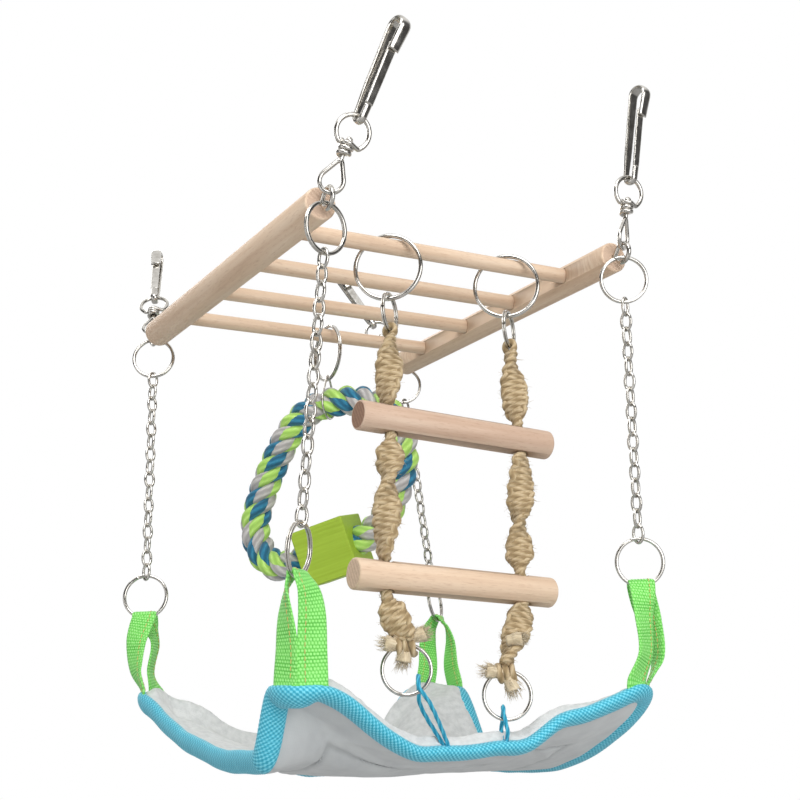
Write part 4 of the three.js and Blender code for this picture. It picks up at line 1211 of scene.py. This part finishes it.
def binding_section(sides):
    # A tape folded over the hem, flat across the cloth, with soft beads of thread in staggered rows
    steps = 180
    outline = [Vector((BINDING_WIDTH / 2 * math.cos(a), BINDING_THICKNESS / 2 * math.sin(a), 0))
               for a in (TURN * k / steps for k in range(steps))]
    girth = length_of(outline + outline[:1])
    outline = spaced(outline, girth / sides, closed=True)
    across = round(girth / BINDING_WEAVE)

    def section(i, reach):
        ring = []
        for j, p in enumerate(outline):
            beads = math.cos(TURN * across * j / len(outline)) * math.cos(TURN * reach / BINDING_WEAVE)
            out = Vector((p.x / BINDING_WIDTH ** 2, p.y / BINDING_THICKNESS ** 2, 0)).normalized()
            h = 0.5 + 0.5 * beads
            q = p + out * BINDING_RELIEF * (h - 0.5)
            # h is also the relief, which the webbing finish turns into painted highlight on the beads and
            # painted shade between them
            ring.append((BINDING_SHIFT + q.x, q.y, h))
        return ring
    return section


def seam_stitches():
    # A row of lockstitch thread along the lining's seam, lying in its groove
    width = HALF_WIDTH - SEAM_INSET
    length = HALF_LENGTH - SEAM_INSET
    square = [Vector((sx * width, sy * length, 0)) for sx, sy in ((1, 1), (-1, 1), (-1, -1), (1, -1))]
    flat = spaced(square, SEAM_STITCH / 4, closed=True)
    below = HAMMOCK_THICKNESS / 2 - SEAM_THREAD_RISE
    shape = new_shape()
    for k in range(0, len(flat) - 4, 4):
        dash = [hang_flat(p.x, p.y) - UP * below for p in flat[k:k + 4]]
        pour(shape, sweep(dash, round_wire(SEAM_THREAD, 5)))
    return shape


binding_path, binding_ways = hem_line(HEM_STEP)
binding = swept(binding_path, binding_section(BINDING_SIDES), closed=True, up=binding_ways)
fitted("hammock_binding", "tape", binding, [BLUE_WEBBING], "hammock")
hammock = fitted("hammock_pad", "cloth", pad(), [LINING, PLUSH], "hammock")
trim("hammock_seam_thread", seam_stitches(), GREY_THREAD, "hammock")


# Straps

def woven(place_across, place_along, cell):
    # Height of a plain weave: raised threads in rows, each row set off by half a thread
    row = math.floor(place_along / cell)
    across = place_across / cell + (0.5 if row % 2 else 0)
    height = math.cos(math.pi * ((place_along / cell) % 1 - 0.5)) * abs(math.cos(math.pi * across))
    return min(1.0, max(0.0, height)) ** WEAVE_ROUNDNESS


def strap_section(steps):
    def section(i, reach):
        top = []
        under = []
        for j in range(steps + 1):
            x = STRAP_WIDTH * (j / steps - 0.5)
            edge = smooth_step((0.5 - abs(j / steps - 0.5)) * STRAP_EDGE_SLOPE)
            h = woven(x, reach, STRAP_WEAVE)
            t = STRAP_THICKNESS / 2 * (STRAP_EDGE + (1 - STRAP_EDGE) * edge)
            t += STRAP_RELIEF * (h - STRAP_MID_RELIEF) * edge
            # h is also the relief, which the webbing finish turns into painted highlight on the raised
            # threads and painted shade between them
            top.append((x, t, h))
            under.append((x, -t, h))
        return top + under[::-1]
    return section


def hem_corner(side, degrees):
    # Point of the hem on a corner's rounding, by its angle round that corner
    a = math.radians(degrees)
    x = side[0] * (HALF_WIDTH - HAMMOCK_CORNER) + HAMMOCK_CORNER * math.cos(a)
    y = side[1] * (HALF_LENGTH - HAMMOCK_CORNER) + HAMMOCK_CORNER * math.sin(a)
    return hang_flat(x, y)


def strap_line(corner):
    # One band over the ring's wire, a leg sewn down on each side of the hammock's corner: its middle
    # line, and the way that its width lies at each point, which twists from the wire to the hem
    side = corner["side"]
    anchor = Vector((side[0] * ANCHOR_X, side[1] * ANCHOR_Y, ANCHOR_Z))
    wire = spin(corner["foot"]) @ X_AXIS
    out = spin(corner["foot"]) @ Y_AXIS
    middle = math.degrees(math.atan2(side[1], side[0]))
    feet = [middle - corner["legs"], middle + corner["legs"]]
    feet.sort(key=lambda a: hem_corner(side, a).dot(out))
    legs = []
    for way, foot, bow in zip((-1, 1), feet, corner["bow"]):
        base = hem_corner(side, foot)
        hem = (hem_corner(side, foot + HEM_SPAN) - hem_corner(side, foot - HEM_SPAN)).normalized()
        away = out * way
        points = [anchor + (away + UP) * STRAP_OVER * STRAP_SHOULDER, anchor + away * STRAP_OVER]
        for along, off, upper, lower in STRAP_LEG:
            bowed = CAMERA_RIGHT * (upper * bow[0] + lower * bow[1])
            points.append(anchor.lerp(base, along) + away * off + bowed)
        points += [base + UP * rise for rise in STRAP_FOOT]
        legs.append((points, hem if hem.dot(wire) > 0 else -hem))
    (left, left_hem), (right, right_hem) = legs
    path = curve_through(left[::-1] + [anchor + UP * STRAP_OVER] + right, STRAP_STEP)
    crown = max(range(len(path)), key=lambda i: path[i].z)
    widths = []
    for i in range(len(path)):
        share = (crown - i) / crown if i < crown else (i - crown) / (len(path) - 1 - crown)
        hem = left_hem if i < crown else right_hem
        turn = corner["turn"][0 if i < crown else 1] * math.sin(math.pi * share)
        widths.append(spin(turn).to_3x3() @ wire.lerp(hem, 1 - (1 - share) ** STRAP_TWIST).normalized())
    return path, widths


def stitches(shape, path, widths, shift, finish):
    # A row of short stitches standing proud of a band's two faces
    proud = STRAP_THICKNESS / 2 + STITCH_RISE
    for k in range(STITCH_ROWS, len(path) - 2 * STITCH_ROWS, STITCH_ROWS):
        for face in (-1, 1):
            dash = []
            for i in range(k, k + STITCH_ROWS - 1):
                ahead = (path[i + 1] - path[i]).normalized()
                dash.append(path[i] + widths[i] * shift + ahead.cross(widths[i]).normalized() * face * proud)
            pour(shape, sweep(dash, round_wire(STITCH_THREAD, 5)), finish)


for name, corner in CORNERS.items():
    path, widths = strap_line(corner)
    strap = swept(path, strap_section(STRAP_SIDES), up=widths)
    stitches(strap, path, widths, corner["stitch"], 1)
    fitted(f"strap_{name}", "webbing", strap, [GREEN_WEBBING, ORANGE_THREAD], "hammock")


# Rope ladder

def foot_ring_at(rope):
    base = hang(rope["tie"] / HALF_WIDTH, -1)
    return Vector((rope["foot"], base.y, base.z + rope["tie_length"] + LADDER_FOOT_RADIUS))


LADDER_FOOT = sum((foot_ring_at(rope) for rope in ROPES.values()), Vector()) / len(ROPES)
FOOT_WIRE = spin(LADDER_FOOT_TURN) @ X_AXIS
FOOT_BACK = FOOT_WIRE.cross(UP)


def lean_at(z):
    share = (LADDER_LINK_Z - z) / (LADDER_LINK_Z - LADDER_FOOT.z)
    return NEAR_RUNG_Y + (LADDER_FOOT.y - NEAR_RUNG_Y) * share


def stray(dice):
    return Vector([dice.uniform(-1, 1) for _ in range(3)])


def fibre(shape, start, way, length, dice, thick):
    # One loose fibre that stands off a cord and curls a little
    curl = stray(dice) * length * FIBRE_CURL
    points = [start + way * length * t + curl * t * t for t in FIBRE_SHARES]
    angles = [TURN * j / FIBRE_SIDES for j in range(FIBRE_SIDES)]

    def section(i, reach):
        r = thick * FIBRE_TAPER[i]
        return [(r * math.cos(a), r * math.sin(a), 0.8) for a in angles]
    pour(shape, sweep(points, section))


def sinnet(rope, seed):
    # Two working cords wound round a core in half knots, so that the band they make turns as it goes
    dice = random.Random(seed)
    foot = foot_ring_at(rope)
    top = LADDER_LINK_Z - LADDER_LINK_RADIUS - SINNET_TOP_ROOM
    bottom = foot.z + LADDER_FOOT_RADIUS + SINNET_FOOT_ROOM
    stops = [Vector((rope["top"], NEAR_RUNG_Y, top))]
    for key, drop in LADDER_DROPS.items():
        for end in (1, -1):
            z = -drop + end * RUNG_HALF
            stops.append(Vector((rope[key], lean_at(z), z)))
    stops.append(Vector((foot.x, foot.y, bottom)))
    core = curve_through(stops, SINNET_STEP)
    upper, lower = LADDER_DROPS.values()
    runs = [(-top, upper - RUNG_HALF), (upper + RUNG_HALF, lower - RUNG_HALF), (lower + RUNG_HALF, -bottom)]
    knots = [a + (b - a) * share for (a, b), shares in zip(runs, rope["knots"]) for share in shares]

    def band_turn(drop):
        # The band shows its broad side at each knot and its edge halfway between two
        if drop <= knots[0]:
            return (drop - knots[0]) / SINNET_HALF_TURN * math.pi
        for k, (a, b) in enumerate(zip(knots, knots[1:])):
            if drop <= b:
                return (k + (drop - a) / (b - a)) * math.pi
        return (len(knots) - 1 + (drop - knots[-1]) / SINNET_HALF_TURN) * math.pi

    def band_at(i):
        # Middle of the band, its broad and thin ways, and how far it opens there
        p = core[i]
        drop = -p.z
        ahead = (core[min(i + 1, len(core) - 1)] - core[max(i - 1, 0)]).normalized()
        e1 = (CAMERA_RIGHT - ahead * CAMERA_RIGHT.dot(ahead)).normalized()
        e2 = ahead.cross(e1)
        turn = band_turn(drop)
        clear = min(abs(drop - upper), abs(drop - lower)) - RUNG_HALF
        free = fold(clear, SINNET_RUNG_EASE) * fold(i * SINNET_STEP, SINNET_TOP_EASE)
        b1 = e1 * math.cos(turn) + e2 * math.sin(turn)
        b2 = e2 * math.cos(turn) - e1 * math.sin(turn)
        return p, b1, b2, free

    def opened(size, free):
        return SINNET_TIGHT + (size - SINNET_TIGHT) * free

    def cord_point(i, half):
        p, b1, b2, free = band_at(i)
        run = i * SINNET_STEP
        wander = SINNET_WANDER[1] * noise.noise(Vector((run / SINNET_WANDER[0], seed, 4)))
        a = TURN * (run / SINNET_PITCH + wander) + half * math.pi
        loose = 1 + SINNET_SLACK[1] * noise.noise(Vector((run / SINNET_SLACK[0], seed, half)))
        wide = b1 * opened(SINNET_WIDE, free) * math.cos(a)
        return p + (wide + b2 * opened(SINNET_THIN, free) * math.sin(a)) * loose

    def edge_point(i, way):
        p, b1, b2, free = band_at(i)
        a = TURN * i * SINNET_STEP / SINNET_PITCH + way
        wide = opened(SINNET_EDGE + SINNET_EDGE_SWAY[0] * math.sin(a), free)
        return p + b1 * way * wide + b2 * SINNET_EDGE_SWAY[1] * math.cos(a) * free

    rising = [cord_point(i, 0) for i in range(len(core) - 1, -1, -1)]
    falling = [cord_point(i, 1) for i in range(len(core))]
    over = Vector((rope["top"], NEAR_RUNG_Y, LADDER_LINK_Z - LADDER_LINK_RADIUS))
    ringside = spin(LADDER_LINK_TURN + 90) @ X_AXIS
    if (rising[-1] - over).dot(ringside) < 0:
        ringside = -ringside
    bend = [over + UP * rise + ringside * out for out, rise in LINK_BEND]
    over_link = curve_through([rising[-1], *bend, falling[0]], WIRE_STEP)
    line = spaced(rising[:-1] + over_link + falling[1:], JUTE_STEP)
    shape = swept(line, plied(JUTE_CORD, plies=2, depth=0.08, pitch=5))
    for way in (-1, 1):
        edge = [edge_point(i, way) for i in range(0, len(core), 2)]
        pour(shape, sweep(edge, plied(JUTE_CORD, plies=2, depth=0.12, pitch=5)))
        inner = [core[i].lerp(edge_point(i, way), JUTE_CORE_PLACE) for i in range(0, len(core), 4)]
        pour(shape, sweep(inner, plied(JUTE_CORE, plies=2, depth=0.1, pitch=5, sides=8)))
    bands = [band_at(i) for i in range(len(core))]

    def sleeve(i, reach):
        # The core cords and packed fibre fill the band between the working cords
        free = bands[i][3]
        wide = opened(SINNET_WIDE, free) + SINNET_FILL
        thin = opened(SINNET_THIN, free) + SINNET_FILL
        ring = []
        for j in range(SLEEVE_SIDES):
            a = TURN * j / SLEEVE_SIDES
            spot = Vector((2 * math.cos(a), 2 * math.sin(a) + seed, reach / 2))
            grow = 1 + SLEEVE_LUMPS * noise.noise(spot)
            ring.append((wide * grow * math.cos(a), thin * grow * math.sin(a), 0.75))
        return ring
    pour(shape, sweep(core, sleeve, up=[band[1] for band in bands]))
    fuzz = new_shape()
    for _ in range(FUZZ_COUNT):
        p = dice.choice(line)
        near = core[min(range(0, len(core), 6), key=lambda i: (core[i] - p).length_squared)]
        out = (p - near).normalized()
        way = (out + stray(dice) * FUZZ_STRAY).normalized()
        root = p + out * JUTE_CORD * FUZZ_ROOT
        fibre(fuzz, root, way, dice.uniform(*FUZZ_LENGTH), dice, FUZZ_THICKNESS)
    pour(shape, fuzz)
    knot(shape, foot, rising[0])
    return shape, core


def ragged(radii, seed):
    # Section of a cut rope end that opens out
    def section(i, reach):
        ring = []
        for j in range(TUFT_SIDES):
            a = TURN * j / TUFT_SIDES
            grow = noise.noise(Vector((3 * math.cos(a), 3 * math.sin(a) + seed, reach / 4)))
            r = radii[i] * (1 + TUFT_LUMPS * grow)
            # The third value is the relief, which the frayed jute finish turns into painted shade in the
            # dents of the end
            ring.append((r * math.cos(a), r * math.sin(a), 0.6 + 0.4 * grow))
        return ring
    return section


def knot_centre(foot):
    return foot + UP * (LADDER_FOOT_RADIUS - KNOT_SINK)


def knot(shape, foot, start):
    # The cords are knotted round the foot ring's wire
    coil = []
    for i in range(KNOT_STEPS + 1):
        share = i / KNOT_STEPS
        a = TURN * KNOT_TURNS * share
        across = (UP * math.cos(a) + FOOT_BACK * math.sin(a)) * KNOT_RADIUS
        coil.append(knot_centre(foot) + FOOT_WIRE * (share - 0.5) * KNOT_LENGTH + across)
    line = curve_through([start, *coil], WIRE_STEP)
    pour(shape, sweep(line, plied(KNOT_CORD, plies=2, depth=0.1, pitch=6)))


def tufts(foot, ends, seed):
    # The cut ends of the knot stick out, open and fray
    dice = random.Random(seed)
    shape = new_shape()
    for lift, across, rise, length in ends:
        way = (CAMERA_RIGHT * across + UP * rise).normalized()
        root = knot_centre(foot) + UP * lift + FOOT_BACK * TUFT_SET_BACK
        stub = curve_through([root + way * length * t for t in TUFT_SHARES], TUFT_STEP)
        swell = [TUFT_RADIUS + TUFT_SWELL * smooth_step(i / (len(stub) - 1)) for i in range(len(stub))]
        pour(shape, sweep(stub, ragged(swell, lift + across)))
        fray = new_shape()
        for _ in range(FRAY_COUNT):
            spread = stray(dice)
            begin = root + way * length * dice.uniform(*FRAY_PLACES) + spread * FRAY_SPREAD
            bent = (way + spread * FRAY_STRAY).normalized()
            fibre(fray, begin, bent, dice.uniform(*FRAY_LENGTH), dice, FRAY_THICKNESS)
        pour(shape, fray)
    return shape


for seed, (name, rope) in enumerate(ROPES.items()):
    foot = foot_ring_at(rope)
    head = Vector((rope["top"], NEAR_RUNG_Y, 0))
    rings = [
        ("ring", head + UP * LADDER_RING_Z, LADDER_RING_TURN, LADDER_RING_RADIUS, LARGE_COIL),
        ("link", head + UP * LADDER_LINK_Z, LADDER_LINK_TURN, LADDER_LINK_RADIUS, SMALL_COIL),
        ("foot_ring", foot, LADDER_FOOT_TURN, LADDER_FOOT_RADIUS, SMALL_COIL),
    ]
    for kind, centre, turn, radius, coil in rings:
        ring = split_ring(radius, Matrix.Translation(centre) @ spin(turn), coil)
        metal(f"ladder_{kind}_{name}", "split", ring, "ladder")
    knotted, core = sinnet(rope, seed + 11)
    strand = fitted(f"ladder_rope_{name}", "sinnet", knotted, [JUTE], "ladder")
    frayed = trim(f"ladder_rope_{name}_frayed_ends", tufts(foot, rope["tufts"], seed + 31), FRAYED_JUTE,
                  "ladder")
    length_of(core) * MM

LADDER_WOODS = {"upper": [RED_BEECH, SHADED_STAINED_END_GRAIN], "lower": [BEECH, END_GRAIN]}

for seed, (name, drop) in enumerate(LADDER_DROPS.items()):
    middle = sum(rope[name] for rope in ROPES.values()) / len(ROPES)
    y = lean_at(-drop)
    place = at(middle, y, -drop) @ Matrix.Rotation(math.pi / 2 + math.radians(LADDER_RUNG_TILT), 4, "Y")
    holes = [(at(rope[name], y, -drop), JUTE_HOLE, JUTE_HOLE_DEPTH) for rope in ROPES.values()]
    rung = dowel(LADDER_RUNG_DIAMETER, LADDER_RUNG_LENGTH, place, seed + 9)
    fitted(f"ladder_rung_{name}", "dowel", rung, LADDER_WOODS[name], "ladder", holes)

for name, rope in ROPES.items():
    slip = math.radians(rope["slip"])
    top = foot_ring_at(rope) + (FOOT_WIRE * math.sin(slip) - UP * math.cos(slip)) * LADDER_FOOT_RADIUS
    base = hang(rope["tie"] / HALF_WIDTH, -1)
    waist = TIE_ROOM_BELOW / (base - top).length
    low, low_across, low_out = TIE_LOW
    strands = []
    for way in (-1, 1):
        across = CAMERA_RIGHT * way * rope["leaf"]
        out = FOOT_BACK * way
        strands.append([
            base + across * TIE_HEM,
            top.lerp(base, low) + across * low_across + out * low_out,
            top.lerp(base, waist) + across + out * rope["bulge"] * TIE_WAIST,
            top + out * rope["bulge"] + UP * TIE_SHOULDER,
        ])
    points = strands[0] + [top + UP * rope["room"]] + strands[1][::-1]
    cord = swept(curve_through(points, TIE_STEP), plied(TIE_CORD, plies=3, depth=0.1, pitch=4, sides=12))
    fitted(f"ladder_tie_{name}", "cord", cord, [BLUE_CORD], "hammock")


# Rope ring with its block

toy_place = at(TOY_RING_X, FAR_RUNG_Y, 0) @ spin(TOY_TURN)
toy_ring_place = at(TOY_RING_X, FAR_RUNG_Y, LADDER_RING_Z) @ spin(90)
metal("toy_ring", "split", split_ring(LADDER_RING_RADIUS, toy_ring_place, LARGE_COIL), "toy_ring")


def bore_at(run):
    tilt = math.radians(TOY_BLOCK_TILT)
    return TOY_BLOCK_CENTRE[0] + run * math.cos(tilt), TOY_BLOCK_CENTRE[1] - run * math.sin(tilt)


deep, mouth = [share * TOY_BLOCK for share in TOY_ROPE_ENDS]
flat_route = [bore_at(-deep), bore_at(-mouth), *TOY_ROUTE, bore_at(mouth), bore_at(deep)]
rope_line = curve_through([toy_place @ Vector((s, 0, -drop)) for s, drop in flat_route], ROPE_STEP)


def toy_rope():
    # Three strands of three coloured yarns each; the yarns turn against the lay and so run with the rope
    pairs = carried(rope_line, False, toy_place.to_3x3() @ -Y_AXIS)
    reach = 0.0
    lines = {}
    for i, p in enumerate(rope_line):
        if i:
            reach += (p - rope_line[i - 1]).length
        e2, e1 = pairs[i]
        e1 = -e1
        for k, yarns in enumerate(STRANDS):
            a = TURN * (reach / TOY_ROPE_LAY + k / 3)
            strand = p + (e1 * math.cos(a) + e2 * math.sin(a)) * STRAND_RADIUS
            for degrees in yarns:
                b = math.radians(degrees) - a
                spot = strand + (e1 * math.cos(b) + e2 * math.sin(b)) * YARN_RADIUS
                lines.setdefault((k, degrees), []).append(spot)
    shape = new_shape()
    for (k, degrees), line in lines.items():
        yarn = sweep(line, plied(YARN, plies=5, depth=0.015, pitch=9, sides=16))
        pour(shape, yarn, STRANDS[k][degrees])
    return shape


rope = fitted("toy_rope", "strands", toy_rope(), [LIME_COTTON, TEAL_COTTON, GREY_COTTON],
              "rope_toy")
length_of(rope_line) * MM

block_tilt = Matrix.Rotation(-math.radians(TOY_BLOCK_TILT), 4, "Y")
block_roll = Matrix.Rotation(math.radians(TOY_BLOCK_ROLL), 4, "X")
block_place = toy_place @ at(TOY_BLOCK_CENTRE[0], 0, -TOY_BLOCK_CENTRE[1]) @ block_tilt @ block_roll
block = bmesh.new()
bmesh.ops.create_cube(block, size=TOY_BLOCK)
bmesh.ops.bevel(block, geom=block.edges[:], offset=TOY_BLOCK_EDGE, segments=4, profile=0.5, affect="EDGES",
                material=-1)
block_grain = block.verts.layers.float_vector.new("grain")
for vert in block.verts:
    vert[block_grain] = vert.co
bmesh.ops.transform(block, matrix=block_place, verts=block.verts)
bore = (block_place @ ALONG_X, TOY_ROPE_DIAMETER + 2 * GAP, TOY_BORE_DEPTH)
fitted("toy_block", "stained", block, [GREEN_STAIN], "rope_toy", [bore])

tie_drop = min(drop for _, drop in TOY_ROUTE)
tie_rise = tie_drop + LADDER_RING_Z - LADDER_RING_RADIUS
tie_line = belt(TOY_ROPE_DIAMETER / 2 + TOY_TIE_ROOM, TOY_TIE_TOP, tie_rise, LOOP_STEP)
tie_place = toy_place @ lifted(-tie_drop) @ spin(90)
tie_up = tie_place.to_3x3() @ Y_AXIS
tie = swept(moved(tie_place, tie_line), round_wire(TOY_TIE_WIRE, 8), closed=True, up=tie_up)
metal("toy_tie", "wire", tie, "rope_toy")


# Studio

floor_finish, tree, shader = blank_finish("pale_studio_floor")
seen = add(tree, "ShaderNodeLightPath", {}, "Is Camera Ray")
white = add(tree, "ShaderNodeEmission", {"Color": linear("#ffffff"), "Strength": 1})
glow = add(tree, "ShaderNodeMath", {0: seen, 1: FLOOR_GLOW}, operation="MULTIPLY")
mixed = add(tree, "ShaderNodeMixShader", {0: glow, 1: shader.outputs[0], 2: white})
# The floor looks white, and throws a little less light up under the object than white would
bounce = add(tree, "ShaderNodeMix", {FACTOR: seen, COLOUR_A: linear("#bcbcbc"), COLOUR_B: linear("#f4f4f4")},
             MIXED_COLOUR, data_type="RGBA")
feed(tree, shader, {"Base Color": bounce, "Roughness": 0.9})
feed(tree, tree.nodes["Material Output"], {"Surface": mixed})
floor_shape = bmesh.new()
bmesh.ops.create_circle(floor_shape, cap_ends=True, segments=64, radius=FLOOR_RADIUS)
bmesh.ops.translate(floor_shape, vec=(0, 0, FLOOR_Z), verts=floor_shape.verts)
floor_mesh = bpy.data.meshes.new("floor")
floor_shape.to_mesh(floor_mesh)
floor_shape.free()
floor_mesh.materials.append(floor_finish)
floor = bpy.data.objects.new("floor", floor_mesh)
bpy.context.scene.collection.objects.link(floor)

world = bpy.data.worlds.new("studio")
world.use_nodes = True
bpy.context.scene.world = world
tree = world.node_tree
rays = add(tree, "ShaderNodeLightPath", {}).node.outputs
shown = add(tree, "ShaderNodeMath", {0: rays["Is Camera Ray"], 1: rays["Is Transmission Ray"]},
            operation="MAXIMUM")
strength = add(tree, "ShaderNodeMapRange", {"Value": shown, "To Min": 0.4, "To Max": 1})
# Shiny metal sees the white backdrop behind the object, a pale ceiling, and a dimmer room in front
heading = add(tree, "ShaderNodeTexCoord", {}, "Generated")
backdrop = add(tree, "ShaderNodeVectorMath", {0: heading, 1: BACKDROP_WAY}, "Value", operation="DOT_PRODUCT")
ceiling = add(tree, "ShaderNodeSeparateXYZ", {0: heading}, "Z")
behind = add(tree, "ShaderNodeMapRange", {"Value": backdrop, "From Min": 0.2, "From Max": 0.8, "To Min": 0.1},
             interpolation_type="SMOOTHSTEP")
above = add(tree, "ShaderNodeMapRange", {"Value": ceiling, "From Min": 0.5, "From Max": 0.75, "To Min": 0.1},
            interpolation_type="SMOOTHSTEP")
studio = add(tree, "ShaderNodeMath", {0: behind, 1: above}, operation="MAXIMUM")
level = add(tree, "ShaderNodeMix", {FACTOR: rays["Is Glossy Ray"], PLAIN_A: strength, PLAIN_B: studio})
feed(tree, tree.nodes["Background"], {"Color": linear("#ffffff"), "Strength": level})

for name, (place, aim, size, watts) in LAMPS.items():
    lamp = bpy.data.lights.new(name, "AREA")
    lamp.shape = "RECTANGLE"
    lamp.size, lamp.size_y = size
    lamp.energy = watts
    softbox = bpy.data.objects.new(name, lamp)
    facing = (Vector(aim) - Vector(place)).to_track_quat("-Z", "Y").to_matrix().to_4x4()
    softbox.matrix_world = Matrix.Translation(place) @ facing
    bpy.context.scene.collection.objects.link(softbox)
